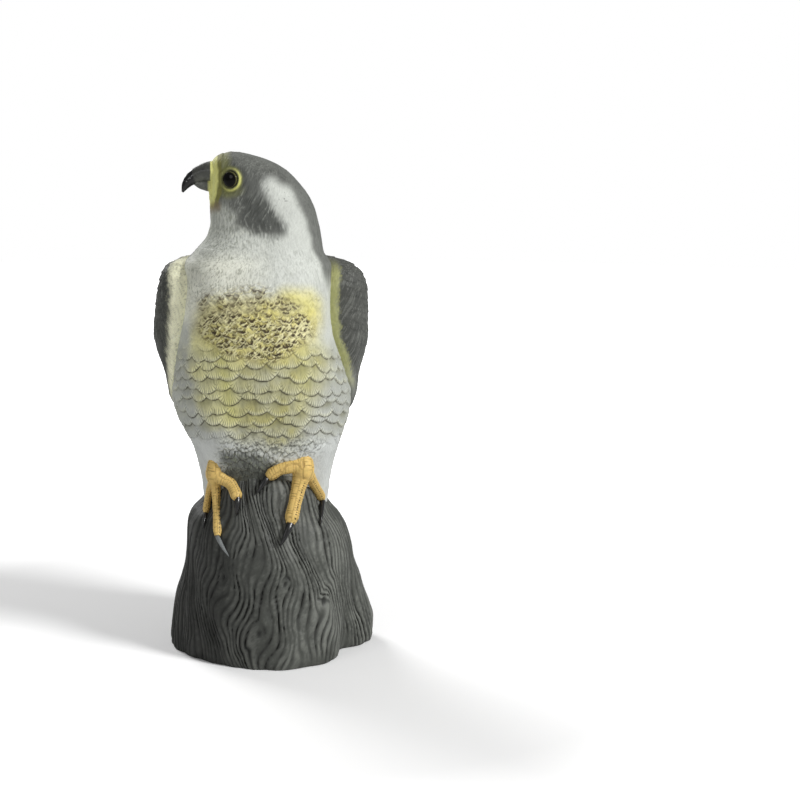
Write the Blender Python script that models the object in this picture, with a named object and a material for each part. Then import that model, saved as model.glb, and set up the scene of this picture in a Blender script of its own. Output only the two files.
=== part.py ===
"""Falcon decoy perched on a stump: a hollow garden figure glued up from moulded shells.

The bird faces -Y and looks towards -X, up is +Z, and the origin is the middle of the footprint on the
ground. Every outline is a short list of levels in hundredths of a named size, joined by smooth curves.
"""

import math

import bmesh
import bpy
import numpy as np
from mathutils import Matrix, Vector

MM = 0.001

# Driving sizes of the whole figure
SEAT_HEIGHT = 120 * MM
BIRD_HEIGHT = 280 * MM
BODY_WIDTH = 150 * MM
BODY_DEPTH = 120 * MM
HEAD_LENGTH = 80 * MM
HEAD_WIDTH = 60 * MM
STUMP_WIDTH = 168 * MM
STUMP_DEPTH = 154 * MM
TAIL_STAND_OUT = 15 * MM
TAIL_WIDTH = 84 * MM
LEAN = 20 * MM

# The tail's ridge stands out from the stump's back at the ground
STUMP_BACK_SHARE = 0.455
TAIL_DEPTH = STUMP_BACK_SHARE * STUMP_DEPTH + TAIL_STAND_OUT

# Walls and fits of the mouldings
WALL = 3.0 * MM
FIT_GAP = 0.3 * MM
SINK = 10.0 * MM
CUT_MARGIN = 5.0 * MM

# Hollow between two roots at the stump's front: its direction and its spread
ROOT_HOLLOW_TURN = math.radians(-33.0)
ROOT_HOLLOW_SPREAD = math.radians(15.0)

# Bark of the stump
BARK_RIDGES = 20
BARK_DEPTH = 1.7 * MM
# Waves that turn the ridges aside: size in radians, waves up the seat in radians, waves round, and phase
BARK_WAVES = ((0.10, 5.0, 3, 0.0), (0.04, 11.0, 7, 1.0))

# Neck socket between body and head
NECK_SHARE = 0.735
COLLAR_HEIGHT = 10 * MM
COLLAR_WALL = 2.0 * MM
COLLAR_CLEARANCE = 1.0 * MM

# Thigh swellings on the front of the body
THIGH_SWELL = 4.5 * MM
THIGH_SPREAD = 17 * MM
THIGH_HEIGHT = 48 * MM
THIGH_REACH = 24 * MM
LEFT_THIGH_X = 36 * MM
RIGHT_THIGH_X = -39 * MM

# Wings: greatest thickness, thickness over the back, and the split between them
LEFT_WING_BULGE = 30.5 * MM
RIGHT_WING_BULGE = 23.0 * MM
WING_BACK_THICKNESS = 6.0 * MM
WING_SPLIT = 0.5 * MM

# Eyes
EYE_DIAMETER = 12.4 * MM
EYE_DEPTH = 5.0 * MM
EYE_RIM = -0.4 * MM
EYE_STAND_OUT = 2.6 * MM
EYE_FACETS = 20
EYE_SHARE = 0.927
EYE_FORWARD = 19.5 * MM

# Beak: its levels above the seat are shares of the bird's height
BEAK_SHARE = 0.945
LOWER_BEAK_SHARE = 0.903
BEAK_LEVEL = BEAK_SHARE * BIRD_HEIGHT
BEAK_ROOT_HEIGHT = 16.4 * MM
BEAK_ROOT_WIDTH = 17.0 * MM
BEAK_REACH = 24.5 * MM
BEAK_DROP = 15.5 * MM
LOWER_BEAK_LEVEL = LOWER_BEAK_SHARE * BIRD_HEIGHT
LOWER_BEAK_REACH = 15.5 * MM
LOWER_BEAK_HEIGHT = 10.5 * MM
LOWER_BEAK_WIDTH = 13.5 * MM
BEAK_ROOT_STAND_OUT = 2 * MM
# Shape of each beak from its hidden root to its tip: how far forwards in shares of the reach, how far
# down in shares of the drop, and its height and width in shares of those at the root
BEAK_SHAPE = (
    (0.30, 0.0, 1.0, 1.0),
    (0.0, 0.0, 1.0, 1.0),
    (-0.22, 0.03, 0.95, 0.9),
    (-0.47, 0.16, 0.82, 0.72),
    (-0.68, 0.38, 0.68, 0.56),
    (-0.84, 0.66, 0.48, 0.42),
    (-0.93, 0.93, 0.24, 0.24),
    (-0.96, 1.05, 0.04, 0.05),
)
LOWER_BEAK_SHAPE = (
    (0.6, 0.0, 1.0, 1.0),
    (0.0, 0.0, 0.9, 0.95),
    (-0.5, -0.05, 0.6, 0.75),
    (-0.9, -0.16, 0.15, 0.3),
)

# Feet and talons
TALON_SHARE = 0.52
TALON_ARCH_SHARE = 0.16
TOE_SINK_SHARE = 0.35
# Girth along the ankle, along a toe and along a talon, in shares of each one's radius
ANKLE_SWELL = (0.8, 0.92, 1.05, 1.12, 0.95, 0.5)
TOE_SWELL = (1.3, 1.15, 1.02, 0.98, 0.93, 0.97, 1.0, 0.62)
TALON_TAPER = (1.0, 1.05, 0.92, 0.74, 0.5, 0.14)
# Places along a talon: share of its reach, and share of its greatest bow away from the stump
TALON_BOW = ((0.0, 0.0), (0.3, 0.9), (0.65, 1.0), (1.0, 0.0))

# Closing plate and filler plug in the underside
PLATE_THICKNESS = 3.0 * MM
PLATE_RECESS = 2.5 * MM
PLATE_LEDGE = 3.5 * MM
FILLER_RADIUS = 17.0 * MM
PLUG_FLANGE_RADIUS = 20.0 * MM
PLUG_FLANGE_THICKNESS = 1.6 * MM
PLUG_LENGTH = 9.0 * MM
PLUG_WALL = 2.0 * MM
PLUG_GRIP_WIDTH = 4.0 * MM
PLUG_CHAMFER = 2.0 * MM
PLUG_DRAFT = 1.0 * MM

# Facets round each form, and rings up it
BODY_FACETS = 36
BODY_RINGS = 22
HEAD_FACETS = 36
HEAD_RINGS = 16
STUMP_FACETS = 80
STUMP_RINGS = 14
COLLAR_RINGS = 4
CORE_FACETS = 24
CORE_RINGS = 8
ROUND_FACETS = 32
PLATE_FACETS = 48
TAIL_RINGS = 10
WING_ROWS = 24
WING_NOSE_POINTS = 5
WING_FACE_POINTS = 9
WING_INNER_POINTS = 5
ANKLE_FACETS = 12
TOE_FACETS = 9
TALON_FACETS = 8
BEAK_FACETS = 12
BEAK_RINGS = 11
FINE_STEPS = 600
WAVER_STEPS = 24

# Columns of a level: height in hundredths of its size, then left, right, front and back reach and the
# middle in hundredths of their sizes, the squareness of the section, its turn in degrees, its taper and
# the depth of the hollow between two roots of the stump, as a share of the reach
HEIGHT, LEFT, RIGHT, FRONT, BACK, MIDDLE, POWER, TURN, TAPER, HOLLOW = range(10)

BODY_LEVELS = (
    (-7.1, 29.3, 29.3, 31.7, 36.7),
    (0.0, 33.3, 33.3, 35.8, 41.7),
    (5.4, 34.3, 34.3, 37.5, 43.3),
    (10.0, 35.7, 35.7, 39.6, 44.2),
    (16.0, 38.7, 38.7, 43.3, 44.2),
    (21.5, 44.3, 42.0, 46.7, 43.8),
    (27.0, 48.7, 44.6, 50.0, 43.3),
    (31.0, 49.9, 45.2, 51.7, 42.9),
    (36.5, 48.9, 42.6, 53.3, 42.1),
    (43.0, 47.7, 39.0, 54.2, 40.8),
    (50.0, 45.7, 35.3, 53.3, 39.2),
    (57.0, 43.7, 34.3, 50.0, 36.7),
    (64.3, 42.7, 34.7, 43.3, 33.3),
    (67.5, 43.4, 34.7, 39.2, 31.7),
    (72.0, 37.6, 30.3, 33.3, 28.8),
    (77.0, 30.4, 28.7, 29.2, 26.7),
)
HEAD_LEVELS = (
    (80.4, 54.5, 51.3, 55.0, 51.7, 0.0, 4.0, 0.05),
    (84.0, 54.8, 47.9, 51.7, 50.0, -1.9, 6.0, 0.12),
    (88.0, 55.0, 41.0, 49.2, 48.3, -6.3, 7.0, 0.22),
    (91.8, 55.0, 30.4, 45.8, 45.8, -11.9, 7.0, 0.30),
    (94.6, 54.5, 20.6, 41.7, 41.7, -17.5, 7.0, 0.30),
    (96.8, 52.5, 8.1, 35.0, 35.0, -23.0, 7.0, 0.25),
    (98.6, 46.9, -8.8, 24.2, 24.2, -28.8, 7.0, 0.15),
    (99.6, 39.4, -22.5, 11.7, 11.7, -32.5, 7.0, 0.05),
    (100.0, 33.8, -33.8, 0.0, 0.0, -33.8, 7.0, 0.0),
)
STUMP_LEVELS = (
    (0.0, 46.8, 52.1, 54.5, 45.5, 18.0),
    (7.0, 46.5, 53.0, 54.2, 45.1, 17.5),
    (14.0, 45.8, 53.0, 53.6, 44.8, 16.0),
    (25.0, 44.8, 51.1, 52.3, 43.5, 12.5),
    (36.0, 43.4, 48.2, 51.0, 42.2, 8.0),
    (47.0, 40.8, 45.8, 49.4, 40.9, 4.0),
    (58.0, 38.9, 42.9, 48.1, 39.6, 0.0),
    (71.0, 38.2, 41.2, 46.1, 38.3, 0.0),
    (81.0, 37.9, 38.9, 43.8, 37.0, 0.0),
    (87.5, 37.3, 36.3, 42.2, 36.0, 0.0),
    (92.5, 35.4, 33.0, 40.9, 35.1, 0.0),
    (97.0, 32.1, 30.4, 39.9, 34.4, 0.0),
    (102.0, 29.2, 28.6, 38.6, 33.1, 0.0),
    (110.0, 26.8, 26.8, 36.4, 29.9, 0.0),
    (118.0, 23.8, 23.8, 33.1, 24.7, 0.0),
    (124.0, 17.9, 17.9, 28.6, 18.2, 0.0),
    (126.0, 0.0, 0.0, 0.0, 0.0, 0.0),
)
# Columns of the tail: height in hundredths of the seat, then half width, depth of the ridge
# and depth of the eaves in hundredths of the tail's sizes
TAIL_LEVELS = (
    (0.0, 79.0, 101.0, 79.0),
    (35.0, 86.0, 94.0, 72.0),
    (70.0, 99.0, 87.5, 63.5),
    (85.0, 103.0, 83.0, 57.0),
    (100.0, 106.0, 77.5, 50.0),
    (125.0, 108.0, 67.5, 45.5),
    (158.0, 88.0, 57.0, 27.0),
)
TAIL_ROOT = 12 * MM
TAIL_CORE_TOP = 0.78 * SEAT_HEIGHT
TAIL_FACETS = 7
BODY_POWER = 2.25
HEAD_POWER = 2.2
STUMP_POWERS = (1.7, 2.3)
STUMP_TURN = math.radians(7.0)

# Wing outline: height in hundredths of the bird, thickness in hundredths of the bulge,
# and how far round from the back the leading edge lies, in degrees
WING_LEVELS = (
    (70.4, 0.0, 86.0),
    (70.0, 22.0, 91.0),
    (69.2, 42.0, 96.0),
    (67.2, 68.0, 101.0),
    (65.0, 83.0, 105.0),
    (61.0, 94.0, 107.0),
    (53.5, 100.0, 107.0),
    (49.0, 98.0, 105.0),
    (43.0, 76.0, 101.0),
    (36.0, 42.0, 95.0),
    (30.5, 27.0, 89.0),
    (24.5, 25.0, 76.0),
    (18.0, 24.0, 60.0),
    (10.0, 22.0, 42.0),
    (-4.0, 18.0, 21.0),
    (-14.0, 14.0, 10.0),
    (-20.0, 9.0, 5.0),
)
# Share of the arc that the rounded nose takes, and where the side's thickness has eased to the back's
WING_NOSE_SHARE = 0.28
WING_EASED_SHARE = 0.8

# V-shaped edge of the mantle between the wings: heights in hundredths of the bird, spread in degrees
MANTLE_TOP_PERCENT = 70.4
MANTLE_FOOT_PERCENT = 53.0
MANTLE_DEGREES = 70.0
MANTLE_STEP_SHARE = 0.55

# Hollow inside the wing's thick shoulder
CORE_TOP_PERCENT = 66.5
CORE_FOOT_PERCENT = 38.0
CORE_START_SHARE = 0.07
CORE_END_SHARE = 0.62

# Each toe in hundredths of the foot's spread: X at its root, knuckle and end, their heights above the
# seat, its radius, and the X and height of its talon's tip. Each ankle: X and height at its top and
# its root, and its radius
FOOT_SPREAD = 50 * MM
LEFT_TOES = (
    ((54, 26, 2), (74, 70, 56), 9.6, (-16, 30)),
    ((56, 48, 38), (56, 26, -14), 10.8, (22, -48)),
    ((66, 78, 90), (58, 34, 8), 7.8, (86, -26)),
)
RIGHT_TOES = (
    ((-84, -90, -96), (42, 24, -10), 5.6, (-100, -32)),
    ((-80, -78, -76), (42, 6, -38), 6.6, (-58, -66)),
    ((-74, -56, -44), (52, 42, 22), 9.2, (-46, -4)),
)
LEFT_ANKLE = ((60, 58), (92, 64), 16.0)
RIGHT_ANKLE = ((-78, -80), (84, 50), 14.0)

# Colours and gloss of the finishes
CHARCOAL = ((0.090, 0.093, 0.085), 0.75)
CHEST_PAINT = ((0.72, 0.72, 0.60), 0.70)
HOOD_PAINT = ((0.30, 0.31, 0.31), 0.70)
BEAK_PAINT = ((0.05, 0.05, 0.05), 0.45)
FOOT_PAINT = ((0.62, 0.38, 0.09), 0.60)
EYE_BLACK = ((0.010, 0.009, 0.008), 0.12)
PLUG_BLACK = ((0.03, 0.03, 0.03), 0.55)


def clear_scene():
    """Removes every object that the file starts with."""
    for old in list(bpy.data.objects):
        bpy.data.objects.remove(old)


def finish(name, paint):
    """One plastic finish from a colour and a roughness."""
    colour, roughness = paint
    material = bpy.data.materials.new(name)
    material.use_nodes = True
    shader = material.node_tree.nodes["Principled BSDF"]
    shader.inputs["Base Color"].default_value = (*colour, 1.0)
    shader.inputs["Roughness"].default_value = roughness
    shader.inputs["Metallic"].default_value = 0.0
    material.diffuse_color = (*colour, 1.0)
    return material


def slopes(x, y):
    """Slopes at the points of a smooth curve that never swings past its points."""
    step = np.diff(x)
    rise = np.diff(y, axis=0) / step[:, None]
    out = np.zeros_like(y)
    out[0] = rise[0]
    out[-1] = rise[-1]
    before, after = rise[:-1], rise[1:]
    w1 = (2 * step[1:] + step[:-1])[:, None]
    w2 = (step[1:] + 2 * step[:-1])[:, None]
    same = before * after > 0
    safe_before = np.where(same, before, 1.0)
    safe_after = np.where(same, after, 1.0)
    out[1:-1] = np.where(same, (w1 + w2) / (w1 / safe_before + w2 / safe_after), 0.0)
    return out


def curve(x, y, at):
    """The smooth curve through the points (x, y), read at the places in at. x rises."""
    x = np.asarray(x, float)
    y = np.asarray(y, float).reshape(len(x), -1)
    m = slopes(x, y)
    at = np.clip(np.atleast_1d(np.asarray(at, float)), x[0], x[-1])
    i = np.clip(np.searchsorted(x, at, side="right") - 1, 0, len(x) - 2)
    h = (x[i + 1] - x[i])[:, None]
    t = ((at - x[i]) / (x[i + 1] - x[i]))[:, None]
    return (
        y[i] * (2 * t**3 - 3 * t**2 + 1)
        + m[i] * h * (t**3 - 2 * t**2 + t)
        + y[i + 1] * (3 * t**2 - 2 * t**3)
        + m[i + 1] * h * (t**3 - t**2)
    )


def skin_levels():
    """Levels of the bird from the tenon in the stump up to the crown, in metres."""
    rows = []
    for height, left, right, front, back in BODY_LEVELS:
        wide = BODY_WIDTH / 100
        deep = BODY_DEPTH / 100
        high = SEAT_HEIGHT + height / 100 * BIRD_HEIGHT
        reach = (left * wide, right * wide, front * deep, back * deep)
        rows.append((high, *reach, 0.0, BODY_POWER, 0.0, 0.0, 0.0))
    for height, left, right, front, back, middle, turn, taper in HEAD_LEVELS:
        wide = HEAD_LENGTH / 100
        deep = HEAD_WIDTH / 100
        high = SEAT_HEIGHT + height / 100 * BIRD_HEIGHT
        reach = (left * wide, right * wide, front * deep, back * deep)
        rows.append((high, *reach, middle * wide, HEAD_POWER, math.radians(turn), taper, 0.0))
    return np.array(rows)


def stump_levels():
    """Levels of the stump from the ground up to the hidden crest inside the bird, in metres."""
    rows = []
    for height, left, right, front, back, hollow in STUMP_LEVELS:
        wide = STUMP_WIDTH / 100
        deep = STUMP_DEPTH / 100
        reach = (left * wide, right * wide, front * deep, back * deep)
        up = min(height / 100, 1.0)
        power = STUMP_POWERS[0] + (STUMP_POWERS[1] - STUMP_POWERS[0]) * up
        turn = STUMP_TURN * (1 - up)
        rows.append((height / 100 * SEAT_HEIGHT, *reach, 0.0, power, turn, 0.0, hollow / 100))
    return np.array(rows)


def tail_levels():
    """Levels of the roof-shaped tail from the ground up under the wings, in metres."""
    rows = np.array(TAIL_LEVELS) / 100
    return rows * np.array([SEAT_HEIGHT, TAIL_WIDTH / 2, TAIL_DEPTH, TAIL_DEPTH])


def tail_reach(height, angles, tail, grow=0.0):
    """Distance from the axis to the tail's roof at the angles, at one height."""
    wide, ridge, eaves = [np.interp(height, tail[:, 0], tail[:, i]) + grow for i in (1, 2, 3)]
    across = np.maximum(np.abs(np.cos(angles)), 1e-6)
    roof = ridge / np.maximum(np.sin(angles) + across * (ridge - eaves) / wide, 1e-6)
    return np.minimum(roof, wide / across)


def tail_solid(name, tail, low, high, rings, grow=0.0, paint=None):
    """The tail wedge between two heights: a ridged roof behind the axis with upright sides."""
    shape = []
    for height in np.linspace(low, high, rings):
        wide = np.interp(height, tail[:, 0], tail[:, 1]) + grow
        eaves = np.interp(height, tail[:, 0], tail[:, 3]) + grow
        root = math.atan2(TAIL_ROOT + grow, wide)
        corner = math.atan2(eaves, wide)
        slope = np.linspace(corner, math.pi - corner, 2 * TAIL_FACETS + 1)
        angles = np.concatenate([[root], slope, [math.pi - root]])
        r = tail_reach(height, angles, tail, grow)
        shape.append(np.stack([r * np.cos(angles), r * np.sin(angles), np.full_like(r, height)], axis=1))
    return loft(name, shape, paint)


def along(levels):
    """Running length over the levels, which spaces the rings evenly over the surface."""
    steps = np.abs(np.diff(levels[:, [HEIGHT, LEFT, RIGHT, FRONT, BACK]], axis=0)).sum(axis=1)
    return np.concatenate([[0.0], np.cumsum(steps + 1e-6)])


def level_at(levels, height):
    """The level at one height, read from the same smooth curves that the rings use."""
    run = along(levels)
    fine = curve(run, levels, np.linspace(run[0], run[-1], FINE_STEPS))
    return np.array([np.interp(height, fine[:, HEIGHT], column) for column in fine.T])


def half_axes(level, x_side, y_side, grow=0.0):
    """Half lengths of the section towards the sides that the signs name."""
    left = level[LEFT] + level[MIDDLE]
    right = level[RIGHT] - level[MIDDLE]
    across = np.where(x_side < 0, left, right) + grow
    deep = np.where(y_side < 0, level[FRONT], level[BACK]) + grow
    return np.maximum(across, 1e-6), np.maximum(deep, 1e-6)


def reach(level, angles, grow=0.0):
    """Distance from the middle of a section to its edge at the angles."""
    c, s = np.cos(angles), np.sin(angles)
    a, b = half_axes(level, c, s, grow)
    n = level[POWER]
    near = np.exp(2 * (np.cos(angles - ROOT_HOLLOW_TURN) - 1) / ROOT_HOLLOW_SPREAD**2)
    return ((np.abs(c) / a) ** n + (np.abs(s) / b) ** n) ** (-1 / n) * (1 - level[HOLLOW] * near)


def section(level, angles, grow=0.0, relief=None):
    """Points round a section: a rounded outline, narrowed towards the beak and turned."""
    r = reach(level, angles, grow)
    if relief is not None:
        r = r + relief(angles, level, r)
    x, y = r * np.cos(angles), r * np.sin(angles)
    ax, _ = half_axes(level, x, y, grow)
    y = y * (1 - level[TAPER] * np.where(x < 0, x / ax, 0.0) ** 2)
    c, s = math.cos(level[TURN]), math.sin(level[TURN])
    px = level[MIDDLE] + x * c - y * s
    py = x * s + y * c
    return np.stack([px, py, np.full_like(px, level[HEIGHT])], axis=1)


def round_angles(count):
    """Even angles once round."""
    return np.arange(count) * 2 * math.pi / count


def new_object(name, mesh, paint=None):
    """Links a mesh as a named object, with its own finish if it is a node."""
    made = bpy.data.objects.new(name, mesh)
    bpy.context.scene.collection.objects.link(made)
    if paint is not None:
        mesh.materials.append(finish(f"{name}_finish", paint))
    return made


def helper(obj):
    """Marks an object as a cutter or a joined shape, which isn't a node."""
    obj.hide_render = True
    obj.display_type = "WIRE"
    return obj


def lean(height):
    """How far the bird is carried forwards at a height."""
    return -LEAN * np.maximum(np.asarray(height) - SEAT_HEIGHT, 0.0) / BIRD_HEIGHT


def loft(name, rings, paint=None, smooth=True):
    """A closed skin over rings with the same number of points, with a face or a pole at each end."""
    bm = bmesh.new()
    rows = []
    for ring in rings:
        ring = np.array(ring)
        ring[:, 1] += lean(ring[:, 2])
        if np.ptp(ring, axis=0).max() < 1e-6:
            rows.append([bm.verts.new(ring[0])])
        else:
            rows.append([bm.verts.new(p) for p in ring])
    for low, high in zip(rows, rows[1:]):
        wide = max(len(low), len(high))
        for i in range(wide):
            j = (i + 1) % wide
            if len(low) == 1:
                bm.faces.new((low[0], high[j], high[i]))
            elif len(high) == 1:
                bm.faces.new((low[i], low[j], high[0]))
            else:
                bm.faces.new((low[i], low[j], high[j], high[i]))
    for end in (rows[0], rows[-1]):
        if len(end) > 1:
            bm.faces.new(end)
    bmesh.ops.triangulate(bm, faces=bm.faces)
    bmesh.ops.recalc_face_normals(bm, faces=bm.faces)
    mesh = bpy.data.meshes.new(name)
    bm.to_mesh(mesh)
    bm.free()
    if smooth:
        mesh.shade_smooth()
        mesh.set_sharp_from_angle(angle=math.radians(40))
    return new_object(name, mesh, paint)


def stack(
    name, levels, low, high, rings, facets, grow=0.0, relief=None, paint=None, extend=(0.0, 0.0), places=None
):
    """A closed solid over the levels between two heights. extend lengthens it straight down and up.

    grow moves the skin outwards, by one amount or by an amount that depends on the height. places gives
    the angles of a level's points, which are even without it.
    """
    run = along(levels)
    fine = curve(run, levels, np.linspace(run[0], run[-1], FINE_STEPS))
    start = np.interp(low, fine[:, HEIGHT], np.linspace(run[0], run[-1], FINE_STEPS))
    end = np.interp(high, fine[:, HEIGHT], np.linspace(run[0], run[-1], FINE_STEPS))
    rows = curve(run, levels, np.linspace(start, end, rings))
    if extend[0] > 0:
        rows = np.vstack([rows[:1], rows])
        rows[0, HEIGHT] -= extend[0]
    if extend[1] > 0:
        rows = np.vstack([rows, rows[-1:]])
        rows[-1, HEIGHT] += extend[1]
    angles_at = places or (lambda count, _level: round_angles(count))
    grow_at = grow if callable(grow) else lambda _height: grow
    shape = [section(row, angles_at(facets, row), grow_at(row[HEIGHT]), relief) for row in rows]
    return loft(name, shape, paint)


def grown(name, source, gap):
    """A copy of a blank with its skin moved outwards by the gap, to cut a neighbour's seat."""
    mesh = source.data.copy()
    moved = [v.co + v.normal * gap for v in mesh.vertices]
    for vertex, place in zip(mesh.vertices, moved):
        vertex.co = place
    return helper(new_object(name, mesh))


def boolean(obj, other, operation, solver="EXACT"):
    """Adds a Boolean."""
    modifier = obj.modifiers.new(f"{operation.lower()} {other.name}", "BOOLEAN")
    modifier.operation = operation
    modifier.object = other
    modifier.solver = solver
    return obj


def cut(obj, *cutters, solver="EXACT"):
    """Takes the cutters away from an object."""
    for cutter in cutters:
        boolean(obj, cutter, "DIFFERENCE", solver)
    return obj


def join(obj, *others):
    """Joins helpers into an object."""
    for other in others:
        boolean(obj, other, "UNION")
    return obj


def path_frames(points):
    """Directions along a path, with a side and an up that don't twist."""
    points = np.asarray(points, float)
    ahead = np.gradient(points, axis=0)
    ahead /= np.linalg.norm(ahead, axis=1)[:, None]
    side = np.cross(ahead[0], (0.0, 0.0, 1.0))
    if np.linalg.norm(side) < 0.2:
        side = np.cross(ahead[0], (0.0, 1.0, 0.0))
    sides = []
    for direction in ahead:
        side = side - direction * float(side @ direction)
        side = side / np.linalg.norm(side)
        sides.append(side)
    sides = np.array(sides)
    return ahead, sides, np.cross(sides, ahead)


def sweep(name, points, wide, high, facets, paint=None):
    """A closed tube of oval section along a path. wide and high are half sizes at each point."""
    points = np.asarray(points, float)
    _, sides, ups = path_frames(points)
    t = round_angles(facets)
    rings = []
    for p, side, up, w, h in zip(points, sides, ups, wide, high):
        rings.append(p + w * np.outer(np.cos(t), side) + h * np.outer(np.sin(t), up))
    return loft(name, rings, paint)


def smooth_path(points, count):
    """The smooth curve through the points, at even steps."""
    points = np.asarray(points, float)
    run = np.concatenate([[0.0], np.cumsum(np.linalg.norm(np.diff(points, axis=0), axis=1))])
    return curve(run, points, np.linspace(0.0, run[-1], count))


def round_hole(name, low, high, radius):
    """An upright round cutter on the Z axis."""
    ends = [(0.0, 0.0, low), (0.0, 0.0, high)]
    return helper(sweep(name, ends, [radius] * 2, [radius] * 2, ROUND_FACETS))


def thigh_relief(angles, level, r):
    """Radial swelling of the two feathered thighs on the front of the body."""
    x, y = r * np.cos(angles), r * np.sin(angles)
    rise = np.exp(-(((level[HEIGHT] - SEAT_HEIGHT - THIGH_HEIGHT) / THIGH_REACH) ** 2))
    left = np.exp(-(((x - LEFT_THIGH_X) / THIGH_SPREAD) ** 2))
    right = np.exp(-(((x - RIGHT_THIGH_X) / THIGH_SPREAD) ** 2))
    return THIGH_SWELL * rise * (left + right) * (y < 0)


def bark_waver(angles, level):
    """How far the ridges turn aside round the stump at one level, in radians."""
    z = level[HEIGHT] / SEAT_HEIGHT
    return sum(size * np.sin(up * z + around * angles + phase) for size, up, around, phase in BARK_WAVES)


def bark_angles(count, level):
    """Angles round a section that waver with the ridges, so that every crease is a line of edges."""
    even = round_angles(count)
    angles = even
    for _ in range(WAVER_STEPS):
        angles = even - bark_waver(angles, level)
    return angles


def bark_relief(angles, level, r):
    """Wavering upright ridges of the bark, which stay under the stump's outline."""
    wave = np.sin(BARK_RIDGES * (angles + bark_waver(angles, level)) / 2)
    fade = np.clip(level[FRONT] / (0.2 * STUMP_DEPTH), 0.0, 1.0)
    return -BARK_DEPTH * (1 - np.abs(wave)) ** 0.8 * fade


def front_face(x, height, skin, stump):
    """Y of the foremost surface at a place on the front, on the bird or on the stump."""
    places = []
    for levels in (skin, stump):
        level = level_at(levels, height)
        a, b = half_axes(level, np.float64(x), np.float64(-1.0))
        inside = max(0.0, 1 - abs(x / float(a)) ** level[POWER])
        places.append(-float(b) * inside ** (1 / level[POWER]))
    if height > stump[-2, HEIGHT]:
        return places[0]
    return min(places)


def back_reach(angles, height, skin, stump, tail):
    """Distance from the axis to the outermost surface round the back, before the wings."""
    out = np.zeros_like(angles)
    for levels in (skin, stump):
        if levels[0, HEIGHT] <= height <= levels[-1, HEIGHT]:
            out = np.maximum(out, reach(level_at(levels, height), angles))
    if height <= tail[-1, 0]:
        out = np.maximum(out, np.where(np.sin(angles) > 0.3, tail_reach(height, angles, tail), 0.0))
    return out


def wing_ring(side, row, bulge, parts, thin=0.0, inset=0.0, last=1.0):
    """Closed section of a wing: the outer arc from the leading edge to the back line, and back inside."""
    height, thickness, lead = row
    skin, stump, tail = parts
    high = SEAT_HEIGHT + height / 100 * BIRD_HEIGHT
    nose_points = np.linspace(0.0, WING_NOSE_SHARE, WING_NOSE_POINTS + 1)[:-1]
    outer = np.concatenate([nose_points, np.linspace(WING_NOSE_SHARE, 1.0, WING_FACE_POINTS)])
    outer = inset + outer * (last - inset)
    inner = np.linspace(last, inset, WING_INNER_POINTS)
    s = np.concatenate([outer, inner])
    mantle = min(max((height - MANTLE_FOOT_PERCENT) / (MANTLE_TOP_PERCENT - MANTLE_FOOT_PERCENT), 0.0), 1.0)
    end = MANTLE_DEGREES * mantle**0.8
    beta = np.radians(lead * (1 - s) + end * s)
    angles = math.pi / 2 - side * beta
    base = back_reach(angles, high, skin, stump, tail)
    nose = np.sqrt(1 - (1 - np.clip(s / WING_NOSE_SHARE, 0.0, 1.0)) ** 2)
    side_thickness = thickness / 100 * bulge
    back_thickness = min(side_thickness, WING_BACK_THICKNESS * (1 - MANTLE_STEP_SHARE * min(1.0, 4 * mantle)))
    ease = np.clip((s - WING_NOSE_SHARE) / (WING_EASED_SHARE - WING_NOSE_SHARE), 0.0, 1.0)
    ease = ease * ease * (3 - 2 * ease)
    rise = side_thickness * nose * (1 - ease) + back_thickness * ease
    r = np.where(np.arange(len(s)) < len(outer), base + rise - thin, base - SINK - thin)
    x = side * np.maximum(side * r * np.cos(angles), WING_SPLIT / 2 + thin)
    return np.stack([x, r * np.sin(angles), np.full_like(x, high)], axis=1)


def wing_rows(count, low, high):
    """Rows of the wing outline at even steps between two heights in hundredths of the bird."""
    table = np.array(WING_LEVELS)[::-1]
    steps = np.abs(np.diff(table[:, 0])) + 0.08 * np.abs(np.diff(table[:, 1]))
    run = np.concatenate([[0.0], np.cumsum(steps)])
    first = np.interp(low, table[:, 0], run)
    last = np.interp(high, table[:, 0], run)
    return curve(run, table, np.linspace(first, last, count))


def build_wing(name, side, bulge, parts, seat, paint):
    """One folded wing: a hollow cover cut to sit on the body, the stump and the tail.

    The exact solver loses this wing where its inner face grazes the seat, so its cuts use the other one.
    """
    rows = wing_rows(WING_ROWS, WING_LEVELS[-1][0], WING_LEVELS[0][0])
    wing = loft(name, [wing_ring(side, row, bulge, parts) for row in rows], paint)
    core_rows = wing_rows(CORE_RINGS, CORE_FOOT_PERCENT, CORE_TOP_PERCENT)
    span = (CORE_START_SHARE, CORE_END_SHARE)
    core_rings = [wing_ring(side, row, bulge, parts, WALL, *span) for row in core_rows]
    core = helper(loft(f"{name}_core", core_rings))
    return cut(wing, core, seat, solver="MANIFOLD")


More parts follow.
